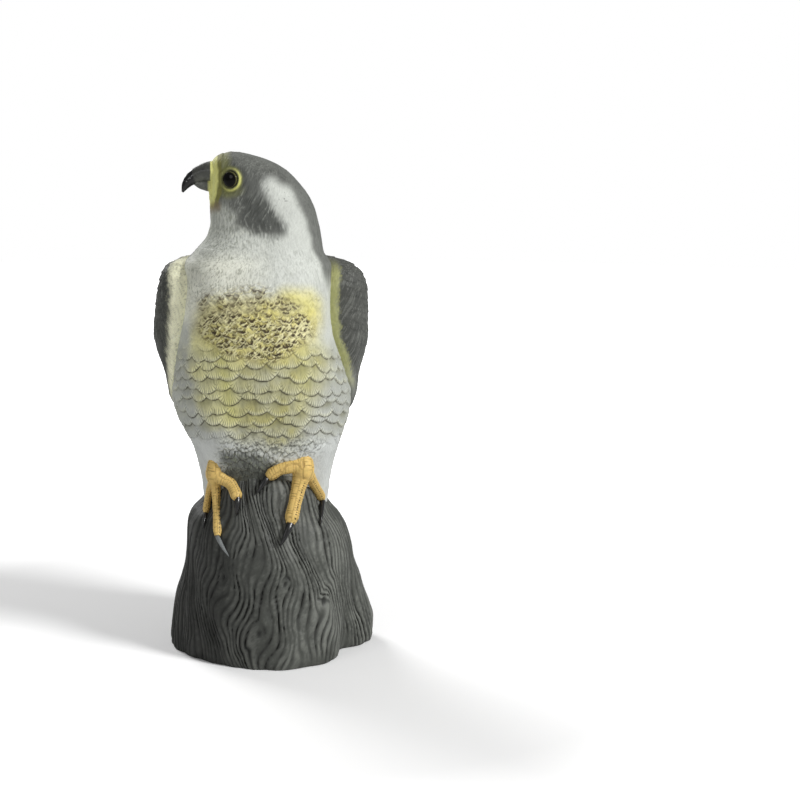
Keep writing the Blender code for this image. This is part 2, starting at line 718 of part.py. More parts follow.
def build_eye(name, side, skin, head_turn):
    """A domed eye on a short shank, and the socket cutter that seats it. side is -1 on the viewer's side."""
    level = level_at(skin, SEAT_HEIGHT + EYE_SHARE * BIRD_HEIGHT)
    a, b = half_axes(level, np.float64(-1.0), np.float64(side))
    edge = []
    for x in (-EYE_FORWARD, -EYE_FORWARD - MM):
        share = abs(x) / float(a)
        y = float(b) * (1 - share ** level[POWER]) ** (1 / level[POWER])
        edge.append(Vector((x, side * y * (1 - level[TAPER] * share**2), 0.0)))
    along_edge = (edge[1] - edge[0]).normalized()
    normal = Vector((along_edge.y, -along_edge.x, 0.0))
    if normal.y * side < 0:
        normal.negate()
    turn = Matrix.Rotation(head_turn, 4, "Z")
    place = turn @ edge[0] + Vector((level[MIDDLE], 0.0, level[HEIGHT]))
    normal = turn @ normal
    frame = Matrix.Translation(place) @ normal.to_track_quat("Z", "Y").to_matrix().to_4x4()
    radius = EYE_DIAMETER / 2
    dome = [
        (radius * math.cos(t), EYE_RIM + (EYE_STAND_OUT - EYE_RIM) * math.sin(t))
        for t in np.radians((0, 22, 44, 66, 90))
    ]
    profile = [(radius, EYE_RIM - EYE_DEPTH), *dome]
    socket_radius = radius + FIT_GAP
    socket = [(socket_radius, -EYE_DEPTH - CUT_MARGIN), (socket_radius, CUT_MARGIN)]
    angles = round_angles(EYE_FACETS)
    made = []
    for label, outline, paint in ((name, profile, EYE_BLACK), (f"{name}_socket", socket, None)):
        rings = []
        for r, z in outline:
            ring = [frame @ Vector((r * math.cos(t), r * math.sin(t), z)) for t in angles]
            rings.append(np.array([tuple(p) for p in ring]))
        made.append(loft(label, rings, paint))
    helper(made[1])
    return made


def head_place(x, height, skin, head_turn):
    """A point on the middle plane of the turned head."""
    middle = level_at(skin, SEAT_HEIGHT + EYE_SHARE * BIRD_HEIGHT)[MIDDLE]
    return (x, (x - middle) * math.tan(head_turn), SEAT_HEIGHT + height)


def beak_blank(name, shape, size, rings, skin, head_turn):
    """A beak swept along the turned head's middle plane, with its root left inside the head."""
    level, reach_out, drop, tall, broad = size
    face = -level_at(skin, SEAT_HEIGHT + BEAK_LEVEL)[LEFT] + BEAK_ROOT_STAND_OUT
    forward, down, high_share, wide_share = np.array(shape).T
    points = [
        head_place(face + f * reach_out, level - d * drop, skin, head_turn) for f, d in zip(forward, down)
    ]
    share = np.linspace(0.0, 1.0, len(points))
    fine = np.linspace(0.0, 1.0, rings)
    wide = np.interp(fine, share, wide_share * broad / 2)
    high = np.interp(fine, share, high_share * tall / 2)
    return sweep(name, smooth_path(points, rings), wide, high, BEAK_FACETS, BEAK_PAINT)


def on_front(x, height, lift, skin, stump):
    """A point in front of the bird or stump, from X and height above the seat in hundredths of the foot."""
    x = x / 100 * FOOT_SPREAD
    high = SEAT_HEIGHT + height / 100 * FOOT_SPREAD
    return np.array((x, front_face(x, high, skin, stump) - lift, high))


def build_foot(name, toes, ankle, skin, stump, seats, paint, talon_paint):
    """One foot with its ankle and three toes as one piece, and its three talons as pieces set in the toes."""
    (x1, x2), (h1, h2), girth = ankle
    girth = girth / 100 * FOOT_SPREAD
    top = on_front(x1, h1, -girth / 2, skin, stump)
    root = on_front(x2, h2, girth / 3, skin, stump)
    low = on_front(x2, h2 - 100 * girth / FOOT_SPREAD, girth / 4, skin, stump)
    swell = girth * np.array(ANKLE_SWELL)
    foot = sweep(name, smooth_path([top, root, low], len(swell)), swell, swell, ANKLE_FACETS, paint)
    for number, (xs, heights, radius, (tip_x, tip_height)) in enumerate(toes, 1):
        radius = radius / 100 * FOOT_SPREAD
        lift = radius * (1 - TOE_SINK_SHARE)
        thick = radius * np.array(TOE_SWELL)
        path = smooth_path([on_front(x, h, lift, skin, stump) for x, h in zip(xs, heights)], len(thick))
        toe = helper(sweep(f"{name}_toe_{number}", path, thick, thick, TOE_FACETS))
        join(foot, toe)
        toe_cutter = grown(f"{name}_toe_cutter_{number}", toe, FIT_GAP)
        thin = radius * TALON_SHARE
        tip = on_front(tip_x, tip_height, thin * 0.4, skin, stump)
        reach_out = tip - path[-1]
        arch = np.array((0.0, -TALON_ARCH_SHARE * np.linalg.norm(reach_out), 0.0))
        claw = [path[-1] + share * reach_out + rise * arch for share, rise in TALON_BOW]
        talon_radius = thin * np.array(TALON_TAPER)
        talon_path = smooth_path(claw, len(talon_radius))
        talon_name = f"{name.split('_')[0]}_talon_{number}"
        talon = sweep(talon_name, talon_path, talon_radius, talon_radius, TALON_FACETS, talon_paint)
        cut(talon, toe_cutter, *seats)
    cut(foot, *seats)
    return foot


def build_plug():
    """Filler plug: a hollow press-in cup with a flange and a finger bar, turned about the Z axis."""
    top = PLATE_RECESS + PLATE_THICKNESS
    shank = FILLER_RADIUS - FIT_GAP
    under = PLATE_RECESS - FIT_GAP
    flange = under - PLUG_FLANGE_THICKNESS
    profile = [
        (0.0, top + PLUG_LENGTH - PLUG_WALL),
        (shank - PLUG_WALL - PLUG_DRAFT, top + PLUG_LENGTH - PLUG_WALL),
        (shank - PLUG_WALL, flange),
        (PLUG_FLANGE_RADIUS, flange),
        (PLUG_FLANGE_RADIUS, under),
        (shank, under),
        (shank, top + PLUG_LENGTH - PLUG_CHAMFER),
        (shank - PLUG_CHAMFER, top + PLUG_LENGTH),
        (0.0, top + PLUG_LENGTH),
    ]
    t = round_angles(ROUND_FACETS)
    rings = [np.stack([r * np.cos(t), r * np.sin(t), np.full_like(t, z)], axis=1) for r, z in profile]
    plug = loft("filler_plug", rings, PLUG_BLACK)
    bar_size = (2 * shank - PLUG_WALL, PLUG_GRIP_WIDTH, PLUG_LENGTH)
    bar = helper(box("plug_bar", bar_size, (0, 0, flange + PLUG_LENGTH / 2)))
    return join(plug, bar)


def box(name, size, centre):
    """A plain block."""
    bm = bmesh.new()
    bmesh.ops.create_cube(bm, size=1.0)
    bmesh.ops.transform(bm, matrix=Matrix.Diagonal((*size, 1.0)), verts=bm.verts)
    bmesh.ops.translate(bm, vec=centre, verts=bm.verts)
    mesh = bpy.data.meshes.new(name)
    bm.to_mesh(mesh)
    bm.free()
    return new_object(name, mesh)


def main():
    """Builds the decoy, carrier by carrier."""
    clear_scene()
    skin = skin_levels()
    stump = stump_levels()
    tail = tail_levels()
    parts = (skin, stump, tail)
    head_turn = skin[-1, TURN]
    neck = SEAT_HEIGHT + NECK_SHARE * BIRD_HEIGHT

    base = skin[0, HEIGHT]
    body = stack("body_shell", skin, base, neck, BODY_RINGS, BODY_FACETS, 0.0, thigh_relief, CHEST_PAINT)
    body_seat = grown("body_seat", body, FIT_GAP)
    crest = stump[-1, HEIGHT]
    stump_shell = stack(
        "stump_shell",
        stump,
        0.0,
        crest,
        STUMP_RINGS,
        STUMP_FACETS,
        relief=bark_relief,
        paint=CHARCOAL,
        places=bark_angles,
    )
    stump_seat = grown("stump_seat", stump_shell, FIT_GAP)
    tail_shell = tail_solid("tail", tail, 0.0, tail[-1, 0], TAIL_RINGS, paint=CHARCOAL)
    tail_seat = grown("tail_seat", tail_shell, FIT_GAP)

    bird_seat = join(grown("bird_seat", stump_shell, FIT_GAP), body_seat)
    wing_seat = join(grown("wing_seat", stump_shell, FIT_GAP), tail_seat, body_seat)
    build_wing("left_wing", 1, LEFT_WING_BULGE, parts, wing_seat, CHARCOAL)
    build_wing("right_wing", -1, RIGHT_WING_BULGE, parts, wing_seat, CHARCOAL)

    tail_core = helper(tail_solid("tail_core", tail, WALL, TAIL_CORE_TOP, COLLAR_RINGS, grow=-WALL))
    cut(tail_shell, bird_seat, tail_core)

    for name, toes, ankle in (
        ("left_foot", LEFT_TOES, LEFT_ANKLE),
        ("right_foot", RIGHT_TOES, RIGHT_ANKLE),
    ):
        build_foot(name, toes, ankle, skin, stump, (body_seat, stump_seat), FOOT_PAINT, BEAK_PAINT)

    stump_core_top = stump[-3, HEIGHT] - WALL
    ledge = PLATE_RECESS + PLATE_THICKNESS + FIT_GAP
    stump_core = helper(
        stack("stump_core", stump, ledge, stump_core_top, CORE_RINGS, CORE_FACETS, grow=-WALL - BARK_DEPTH)
    )
    plate_recess = helper(
        plate_blank("plate_recess", stump, -CUT_MARGIN, ledge + FIT_GAP, PLATE_LEDGE + BARK_DEPTH)
    )
    cut(stump_shell, body_seat, stump_core, plate_recess)

    plate_top = PLATE_RECESS + PLATE_THICKNESS
    plate_inset = PLATE_LEDGE + BARK_DEPTH + FIT_GAP
    plate = plate_blank("base_plate", stump, PLATE_RECESS, plate_top, plate_inset, CHARCOAL)
    cut(plate, round_hole("filler_hole", -CUT_MARGIN, 2 * CUT_MARGIN, FILLER_RADIUS))
    build_plug()

    crown = skin[-1, HEIGHT]
    head = stack("head_shell", skin, neck + FIT_GAP, crown, HEAD_RINGS, HEAD_FACETS, paint=HOOD_PAINT)
    head_seat = grown("head_seat", head, FIT_GAP)
    core_top = skin[-4, HEIGHT] - WALL
    head_core = helper(
        stack("head_core", skin, neck, core_top, CORE_RINGS, CORE_FACETS, -WALL, extend=(CUT_MARGIN, 0))
    )
    cut(head, head_core)
    collar_inset = WALL + COLLAR_CLEARANCE
    collar_low = neck - COLLAR_HEIGHT
    collar_top = neck + COLLAR_HEIGHT
    collar = helper(stack("collar", skin, collar_low, collar_top, COLLAR_RINGS, CORE_FACETS, -collar_inset))
    join(body, collar)
    bore = collar_inset + COLLAR_WALL
    body_core = helper(
        stack(
            "body_core",
            skin,
            base,
            collar_top,
            2 * CORE_RINGS,
            CORE_FACETS,
            lambda height: -bore if height > collar_low - COLLAR_WALL else -WALL,
            extend=(CUT_MARGIN, CUT_MARGIN),
        )
    )
    cut(body, body_core)

    left_socket = build_eye("left_eye", -1, skin, head_turn)[1]
    right_socket = build_eye("right_eye", 1, skin, head_turn)[1]
    cut(head, left_socket, right_socket)

    upper_size = (BEAK_LEVEL, BEAK_REACH, BEAK_DROP, BEAK_ROOT_HEIGHT, BEAK_ROOT_WIDTH)
    lower_size = (LOWER_BEAK_LEVEL, LOWER_BEAK_REACH, LOWER_BEAK_HEIGHT, LOWER_BEAK_HEIGHT, LOWER_BEAK_WIDTH)
    upper = beak_blank("upper_beak", BEAK_SHAPE, upper_size, BEAK_RINGS, skin, head_turn)
    lower = beak_blank("lower_beak", LOWER_BEAK_SHAPE, lower_size, BEAK_RINGS // 2, skin, head_turn)
    upper_seat = grown("upper_beak_seat", upper, FIT_GAP)
    cut(upper, head_seat)
    cut(lower, head_seat, upper_seat)


def plate_blank(name, stump, low, high, inset, paint=None):
    """A flat piece with the stump's own foot outline, set in from it."""
    level = level_at(stump, 0.0)
    angles = round_angles(PLATE_FACETS)
    ring = section(level, angles, -inset)
    rings = []
    for height in (low, high):
        ring = ring.copy()
        ring[:, 2] = height
        rings.append(ring)
    return loft(name, rings, paint, smooth=False)


main()
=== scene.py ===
"""Falcon decoy on a stump, dressed for the picture.

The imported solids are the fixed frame. Each outer piece is worked out again as a fine grid over the same
level tables, with feathers, bark and scales raised in its surface and its paint kept in attributes.
The bird faces -Y and looks towards -X, up is +Z, and every length is in metres.
"""

from __future__ import annotations

import logging
import math
from dataclasses import dataclass, fields
from enum import Enum
from functools import reduce

import bpy
import numpy as np
from mathutils import Matrix, Vector


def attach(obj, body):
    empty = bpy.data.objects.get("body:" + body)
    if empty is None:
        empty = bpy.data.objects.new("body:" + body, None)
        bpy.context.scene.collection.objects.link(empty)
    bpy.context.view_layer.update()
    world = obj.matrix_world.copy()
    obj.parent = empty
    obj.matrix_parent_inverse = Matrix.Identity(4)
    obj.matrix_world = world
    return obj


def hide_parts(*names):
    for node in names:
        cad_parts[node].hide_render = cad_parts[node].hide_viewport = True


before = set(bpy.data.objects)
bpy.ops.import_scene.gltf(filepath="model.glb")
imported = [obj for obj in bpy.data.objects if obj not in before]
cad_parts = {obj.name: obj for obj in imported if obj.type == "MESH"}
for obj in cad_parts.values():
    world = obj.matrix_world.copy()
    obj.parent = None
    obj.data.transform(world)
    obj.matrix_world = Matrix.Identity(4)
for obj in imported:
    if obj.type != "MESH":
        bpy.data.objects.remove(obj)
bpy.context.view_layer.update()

Array = np.ndarray
Mesh = bpy.types.Mesh
Object = bpy.types.Object
Material = bpy.types.Material
Socket = bpy.types.NodeSocket
Colour = tuple[float, float, float]
LOG = logging.getLogger("decoy")
BODY = "decoy"
MM = 0.001

SEAT = 120 * MM
BIRD = 280 * MM
BODY_SIZE = (150 * MM, 120 * MM)
HEAD_SIZE = (80 * MM, 60 * MM)
STUMP_SIZE = (168 * MM, 154 * MM)
TAIL_SIZE = (84 * MM, 85.07 * MM)
LEAN = 20 * MM
NECK = SEAT + 0.735 * BIRD
EYE_LEVEL = SEAT + 0.927 * BIRD
BEAK_ROOT = SEAT + 264.5 * MM
HOLLOW_TURN = math.radians(-33.0)
HOLLOW_SPREAD = math.radians(15.0)
BARK_RIDGES = 20
BARK_DEPTH = 1.7 * MM
BARK_WAVES = ((0.10, 5.0, 3, 0.0), (0.04, 11.0, 7, 1.0))
FOOT = 50 * MM

HEIGHT, LEFT, RIGHT, FRONT, BACK, MIDDLE, POWER, TURN, TAPER, HOLLOW = range(10)

# Height in hundredths of the bird, then left, right, front and back reach in hundredths of the body's size
BODY_LEVELS = (
    (-7.1, 29.3, 29.3, 31.7, 36.7),
    (0.0, 33.3, 33.3, 35.8, 41.7),
    (5.4, 34.3, 34.3, 37.5, 43.3),
    (10.0, 35.7, 35.7, 39.6, 44.2),
    (16.0, 38.7, 38.7, 43.3, 44.2),
    (21.5, 44.3, 42.0, 46.7, 43.8),
    (27.0, 48.7, 44.6, 50.0, 43.3),
    (31.0, 49.9, 45.2, 51.7, 42.9),
    (36.5, 48.9, 42.6, 53.3, 42.1),
    (43.0, 47.7, 39.0, 54.2, 40.8),
    (50.0, 45.7, 35.3, 53.3, 39.2),
    (57.0, 43.7, 34.3, 50.0, 36.7),
    (64.3, 42.7, 34.7, 43.3, 33.3),
    (67.5, 43.4, 34.7, 39.2, 31.7),
    (72.0, 37.6, 30.3, 33.3, 28.8),
    (77.0, 30.4, 28.7, 29.2, 26.7),
)
# The same with the section's middle, its turn in degrees and how far it narrows towards the beak
HEAD_LEVELS = (
    (80.4, 54.5, 51.3, 55.0, 51.7, 0.0, 4.0, 0.05),
    (84.0, 54.8, 47.9, 51.7, 50.0, -1.9, 6.0, 0.12),
    (88.0, 55.0, 41.0, 49.2, 48.3, -6.3, 7.0, 0.22),
    (91.8, 55.0, 30.4, 45.8, 45.8, -11.9, 7.0, 0.30),
    (94.6, 54.5, 20.6, 41.7, 41.7, -17.5, 7.0, 0.30),
    (96.8, 52.5, 8.1, 35.0, 35.0, -23.0, 7.0, 0.25),
    (98.6, 46.9, -8.8, 24.2, 24.2, -28.8, 7.0, 0.15),
    (99.6, 39.4, -22.5, 11.7, 11.7, -32.5, 7.0, 0.05),
    (100.0, 33.8, -33.8, 0.0, 0.0, -33.8, 7.0, 0.0),
)
# Height in hundredths of the seat, the four reaches, then the depth of the hollow between two roots
STUMP_LEVELS = (
    (0.0, 46.8, 52.1, 54.5, 45.5, 18.0),
    (7.0, 46.5, 53.0, 54.2, 45.1, 17.5),
    (14.0, 45.8, 53.0, 53.6, 44.8, 16.0),
    (25.0, 44.8, 51.1, 52.3, 43.5, 12.5),
    (36.0, 43.4, 48.2, 51.0, 42.2, 8.0),
    (47.0, 40.8, 45.8, 49.4, 40.9, 4.0),
    (58.0, 38.9, 42.9, 48.1, 39.6, 0.0),
    (71.0, 38.2, 41.2, 46.1, 38.3, 0.0),
    (81.0, 37.9, 38.9, 43.8, 37.0, 0.0),
    (87.5, 37.3, 36.3, 42.2, 36.0, 0.0),
    (92.5, 35.4, 33.0, 40.9, 35.1, 0.0),
    (97.0, 32.1, 30.4, 39.9, 34.4, 0.0),
    (102.0, 29.2, 28.6, 38.6, 33.1, 0.0),
    (110.0, 26.8, 26.8, 36.4, 29.9, 0.0),
    (118.0, 23.8, 23.8, 33.1, 24.7, 0.0),
    (124.0, 17.9, 17.9, 28.6, 18.2, 0.0),
    (126.0, 0.0, 0.0, 0.0, 0.0, 0.0),
)
# Height in hundredths of the seat, then half width, ridge and eaves in hundredths of the tail's size
TAIL_LEVELS = (
    (0.0, 79.0, 101.0, 79.0),
    (35.0, 86.0, 94.0, 72.0),
    (70.0, 99.0, 87.5, 63.5),
    (85.0, 103.0, 83.0, 57.0),
    (100.0, 106.0, 77.5, 50.0),
    (125.0, 108.0, 67.5, 45.5),
    (158.0, 88.0, 57.0, 27.0),
)
# Height in hundredths of the bird, thickness in hundredths of the bulge, then the leading edge in degrees
# from the back
WING_LEVELS = (
    (70.4, 0.0, 86.0),
    (70.0, 22.0, 91.0),
    (69.2, 42.0, 96.0),
    (67.2, 68.0, 101.0),
    (65.0, 83.0, 105.0),
    (61.0, 94.0, 107.0),
    (53.5, 100.0, 107.0),
    (49.0, 98.0, 105.0),
    (43.0, 76.0, 101.0),
    (36.0, 42.0, 95.0),
    (30.5, 27.0, 89.0),
    (24.5, 25.0, 76.0),
    (18.0, 24.0, 60.0),
    (10.0, 22.0, 42.0),
    (-4.0, 18.0, 21.0),
    (-14.0, 14.0, 10.0),
    (-20.0, 9.0, 5.0),
)
# Each toe in hundredths of the foot's spread: X at root, knuckle and end, their heights above the seat,
# its radius, and the X and height of its talon's tip
TOES = {
    "left": (
        ((54, 26, 2), (74, 70, 56), 9.6, (-16, 30)),
        ((56, 48, 38), (56, 26, -14), 10.8, (22, -48)),
        ((66, 78, 90), (58, 34, 8), 7.8, (86, -26)),
    ),
    "right": (
        ((-84, -90, -96), (42, 24, -10), 5.6, (-100, -32)),
        ((-80, -78, -76), (42, 6, -38), 6.6, (-58, -66)),
        ((-74, -56, -44), (52, 42, 22), 9.2, (-46, -4)),
    ),
}
# Each ankle in the same measure: X at its top and root, their heights above the seat, and its girth
ANKLES = {"left": ((60, 58), (92, 64), 16.0), "right": ((-78, -80), (84, 50), 14.0)}
# The stencils for the front's paint: their plane before the middle, in mm, and their tilt
STENCIL_PLANE = 50
STENCIL_TILT = math.radians(10)
# Each half of the beak: its level above the seat, its reach, drop, height and breadth, and its shape: how far
# forward and down each section stands, in shares of reach and drop, and its height and breadth in shares
UPPER_BEAK = {
    "node": "upper_beak",
    "level": 0.945 * BIRD,
    "reach": 24.5 * MM,
    "drop": 15.5 * MM,
    "tall": 16.4 * MM,
    "broad": 17 * MM,
    "shape": (
        (0.30, 0.0, 1.0, 1.0),
        (0.0, 0.0, 1.0, 1.0),
        (-0.22, 0.03, 0.95, 0.9),
        (-0.47, 0.16, 0.82, 0.72),
        (-0.68, 0.38, 0.72, 0.58),
        (-0.84, 0.66, 0.58, 0.46),
        (-0.92, 0.91, 0.38, 0.32),
        (-0.95, 1.03, 0.10, 0.10),
    ),
}
LOWER_BEAK = {
    "node": "lower_beak",
    "level": 0.903 * BIRD + 1.1 * MM,
    "reach": 15.5 * MM,
    "drop": 10.5 * MM,
    "tall": 12.6 * MM,
    "broad": 13.5 * MM,
    "shape": (
        (0.6, 0.0, 1.0, 1.0),
        (0.0, 0.0, 0.9, 0.95),
        (-0.5, -0.05, 0.72, 0.75),
        (-0.93, -0.2, 0.25, 0.3),
    ),
    "upper": False,
}
# Airbrushed strokes in front view, in mm: half width of the soft edge, then X, height and radius of points
STROKES = {
    "cream sides": (11, ((-37, 246, 20), (-33, 205, 17), (12, 190, 18), (26, 238, 22))),
    "cream middle": (12, ((-4, 244, 30), (0, 205, 26))),
    "left streak": (5, ((26, 250, 5), (31, 222, 3))),
    "right streak": (6, ((-40, 262, 5), (-34, 238, 5), (-26, 196, 4))),
    "belly shadow": (4, ((-19, 232, 2), (-17, 180, 2))),
    "yellow bib": (8, ((-36, 268, 20), (-12, 264, 25), (10, 263, 25), (22, 272, 21))),
    "yellow corner": (11, ((18, 283, 9), (30, 281, 11))),
    "yellow rim": (10, ((16, 286, 6), (31, 283, 8))),
    "dark speckles": (4, ((-40, 266, 12), (-24, 260, 17), (2, 256, 18), (24, 264, 12))),
    "thin speckles": (4, ((-42, 284, 10), (-8, 287, 11), (14, 278, 10), (26, 276, 6))),
    "between the feet": (4, ((-30, 162, 6), (-20, 158, 10), (-6, 155, 11), (6, 150, 8))),
    "over the stump": (4, ((-29, 146, 10), (4, 144, 13))),
    "brow": (5, ((-13, 381, 6), (-5, 373, 8))),
    "cheek": (6.0, ((-17, 369, 5), (-12, 358, 11), (-3, 351, 11), (7, 347, 9), (13, 343, 5))),
    "jaw": (6.0, ((-22, 360, 7), (-14, 352, 9))),
    "white stripe": (5.2, ((4, 376, 6), (12, 367, 10.5), (19, 356, 9.5), (24.5, 344, 9), (26, 320, 12))),
}
# Heights in front view, then the nape's band's edge there, in mm
NAPE_EDGE = ((300, 317, 328, 339, 352, 366, 384, 397), (46, 42, 35.5, 34.5, 32, 26, 16.5, -4))


class Side(Enum):
    """The bird's own left and right. The value is the sign of X on that side."""

    LEFT = 1
    RIGHT = -1


# Paints, as the 0 to 255 values that they show
CHARCOAL = (80, 82, 77)
CHARCOAL_LIT = (104, 106, 100)
BARK_GREY = (74, 76, 71)
CROWN = (90, 92, 87)
NAPE = (112, 114, 109)
NAPE_SHADE = (70, 72, 68)
CROWN_LIT = (136, 138, 132)
RIM_HIGHLIGHT = (132, 135, 128)
CHEEK = (82, 84, 80)
WHITE = (205, 208, 201)
STRIPE = (198, 201, 194)
THROAT = (150, 153, 142)
CERE = (220, 219, 136)
CERE_SHADE = (130, 128, 62)
EYE_RING = (206, 206, 118)
YELLOW = (214, 205, 130)
OCHRE = (200, 184, 100)
CREAM = (200, 196, 140)
FLANK_SHADE = (146, 150, 140)
PALE_GREY = (206, 209, 205)
SPECKLE = (58, 46, 30)
LINE = (66, 61, 44)
WING_CREAM = (250, 249, 216)
WING_GREY = (78, 79, 75)
WING_OLIVE = (190, 191, 126)
FOOT_PAINT = (221, 189, 112)
FOOT_SHADE = (150, 112, 52)
HORN = (56, 57, 52)
LOWER_HORN = (88, 90, 84)
BLACK = (22, 22, 22)
PLUG_BLACK = (34, 34, 33)
TALON_GREY = (118, 122, 122)

# A node's plain white, and the middle of the decoy, which the lamps and the camera look at
WHITE_LIGHT = (1.0, 1.0, 1.0, 1.0)
AIM = (0.0, 0.0, 0.2)


def shown(red: float, green: float, blue: float) -> Array:
    """Linear colour of a paint that shows as these 0 to 255 values."""
    c = np.array((red, green, blue)) / 255
    return np.where(c <= 0.04045, c / 12.92, ((c + 0.055) / 1.055) ** 2.4)


def ease(low: float, high: float, x: Array) -> Array:
    """Smooth step: 0 at low, 1 at high, level at both ends. High may be below low."""
    t = np.clip((x - low) / (high - low), 0.0, 1.0)
    return t * t * (3 - 2 * t)


def bell(x: Array, centre: float, spread: float) -> Array:
    """Bell curve of height 1."""
    return np.exp(-(((x - centre) / spread) ** 2))


def blend(first: Array, second: Array, share: Array) -> Array:
    """Colours between the first and the second by a share at each point."""
    return first + (second - first) * np.asarray(share)[..., None]


def slopes(x: Array, y: Array) -> Array:
    """Slopes at the points of a smooth curve that never swings past its points."""
    step = np.diff(x)
    rise = np.diff(y, axis=0) / step[:, None]
    out = np.zeros_like(y)
    out[0], out[-1] = rise[0], rise[-1]
    before, after = rise[:-1], rise[1:]
    w1 = (2 * step[1:] + step[:-1])[:, None]
    w2 = (step[1:] + 2 * step[:-1])[:, None]
    same = before * after > 0
    inner = (w1 + w2) / (w1 / np.where(same, before, 1.0) + w2 / np.where(same, after, 1.0))
    out[1:-1] = np.where(same, inner, 0.0)
    return out


def curve(x: Array, y: Array, at: Array) -> Array:
    """Smooth curve through the points (x, y), read at the places in at.

    Between two points it is the cubic with the slopes above at its ends.
    """
    x = np.asarray(x, float)
    y = np.asarray(y, float).reshape(len(x), -1)
    m = slopes(x, y)
    at = np.clip(np.atleast_1d(np.asarray(at, float)), x[0], x[-1])
    i = np.clip(np.searchsorted(x, at, side="right") - 1, 0, len(x) - 2)
    h = (x[i + 1] - x[i])[:, None]
    t = ((at - x[i]) / (x[i + 1] - x[i]))[:, None]
    return (
        y[i] * (2 * t**3 - 3 * t**2 + 1)
        + m[i] * h * (t**3 - 2 * t**2 + t)
        + y[i + 1] * (3 * t**2 - 2 * t**3)
        + m[i + 1] * h * (t**3 - t**2)
    )


def running(steps: Array) -> Array:
    """Length from the start to each point, by the steps between them."""
    return np.concatenate([[0.0], np.cumsum(steps)])


class Grain:
    """Smooth seeded noise on a repeating lattice, from -1 to 1."""

    SIZE = 32

    def __init__(self, seed: int) -> None:
        """Draws the lattice's values."""
        self.cells = np.random.default_rng(seed).random((self.SIZE,) * 3)

    def at(self, x: Array, y: Array, z: Array | float = 0.0) -> Array:
        """Value at each point: the eight lattice values around it, eased between.

        Args:
            x: first coordinate, in lattice cells.
            y: second coordinate.
            z: third coordinate.

        Returns:
            The noise, in the points' own shape.
        """
        places = np.broadcast_arrays(x, y, z)
        whole = [np.floor(c).astype(int) for c in places]
        part = [ease(0.0, 1.0, c - w) for c, w in zip(places, whole)]
        out = np.zeros(places[0].shape)
        for corner in range(8):
            bits = [(corner >> k) & 1 for k in range(3)]
            share = np.ones_like(out)
            for bit, t in zip(bits, part):
                share = share * (t if bit else 1 - t)
            index = tuple((w + bit) % self.SIZE for w, bit in zip(whole, bits))
            out += share * self.cells[index]
        return 2 * out - 1

    def layers(self, x: Array, y: Array, z: Array | float = 0.0, count: int = 3) -> Array:
        """Sum of finer and finer copies, each half as high."""
        out = 0.0
        for k in range(count):
            out = out + self.at(x * 2**k + 7.3 * k, y * 2**k + 3.1 * k, np.asarray(z) * 2**k) / 2**k
        return out


class Form:
    """A body given by a table of levels: rounded sections stacked on one smooth curve."""

    MARKS = 4000

    def __init__(self, levels: Array) -> None:
        """Fits the smooth curve. Levels are rows of the ten columns, in metres."""
        self.levels = levels
        steps = np.abs(np.diff(levels[:, :5], axis=0)).sum(axis=1)
        self.run = running(steps + 1e-6)
        self.marks = np.linspace(0.0, self.run[-1], self.MARKS)
        self.fine = curve(self.run, levels, self.marks)

    def rows(self, heights: Array) -> Array:
        """Levels at these heights."""
        heights = np.atleast_1d(heights)
        return np.stack([np.interp(heights, self.fine[:, HEIGHT], column) for column in self.fine.T], axis=1)

    def spread(self, low: float, high: float, count: int) -> Array:
        """Levels at even steps over the surface between two heights."""
        ends = np.interp((low, high), self.fine[:, HEIGHT], self.marks)
        return curve(self.run, self.levels, np.linspace(*ends, count))

    @staticmethod
    def axes(rows: Array, x: Array, y: Array, grow: float = 0.0) -> tuple[Array, Array]:
        """Half lengths of the sections towards the sides that the signs of x and y name."""
        col = rows.T[:, :, None]
        across = np.where(x < 0, col[LEFT] + col[MIDDLE], col[RIGHT] - col[MIDDLE]) + grow
        deep = np.where(y < 0, col[FRONT], col[BACK]) + grow
        return np.maximum(across, 1e-6), np.maximum(deep, 1e-6)

    @classmethod
    def reach(cls, rows: Array, angles: Array, grow: float = 0.0) -> Array:
        """Distance from each section's middle to its edge: the superellipse with that row's power.

        A row may also have a hollow between two roots, a bell in the angle that takes its share off.
        """
        c, s = np.cos(angles), np.sin(angles)
        a, b = cls.axes(rows, c, s, grow)
        n = rows[:, POWER, None]
        near = np.exp(2 * (np.cos(angles - HOLLOW_TURN) - 1) / HOLLOW_SPREAD**2)
        return ((np.abs(c) / a) ** n + (np.abs(s) / b) ** n) ** (-1 / n) * (1 - rows[:, HOLLOW, None] * near)

    @classmethod
    def skin(cls, rows: Array, angles: Array, relief: Array | float = 0.0, grow: float = 0.0) -> Array:
        """Points of the sections: narrowed towards the beak, turned about their middle and leant forwards."""
        angles = np.broadcast_to(angles, (len(rows), np.shape(angles)[-1]))
        r = cls.reach(rows, angles, grow) + relief
        x, y = r * np.cos(angles), r * np.sin(angles)
        a, _ = cls.axes(rows, x, y, grow)
        y = y * (1 - rows[:, TAPER, None] * np.where(x < 0, x / a, 0.0) ** 2)
        c, s = np.cos(rows[:, TURN, None]), np.sin(rows[:, TURN, None])
        return joined(rows[:, MIDDLE, None] + x * c - y * s, x * s + y * c, rows[:, HEIGHT, None])


def leant(points: Array) -> Array:
    """Points above the seat, carried forwards with the leaning bird."""
    out = points.copy()
    out[..., 1] -= LEAN * np.maximum(points[..., 2] - SEAT, 0.0) / BIRD
    return out


def joined(x: Array, y: Array, z: Array) -> Array:
    """Points from their three coordinates, carried forwards with the leaning bird."""
    return leant(np.stack(np.broadcast_arrays(x, y, z), axis=-1))


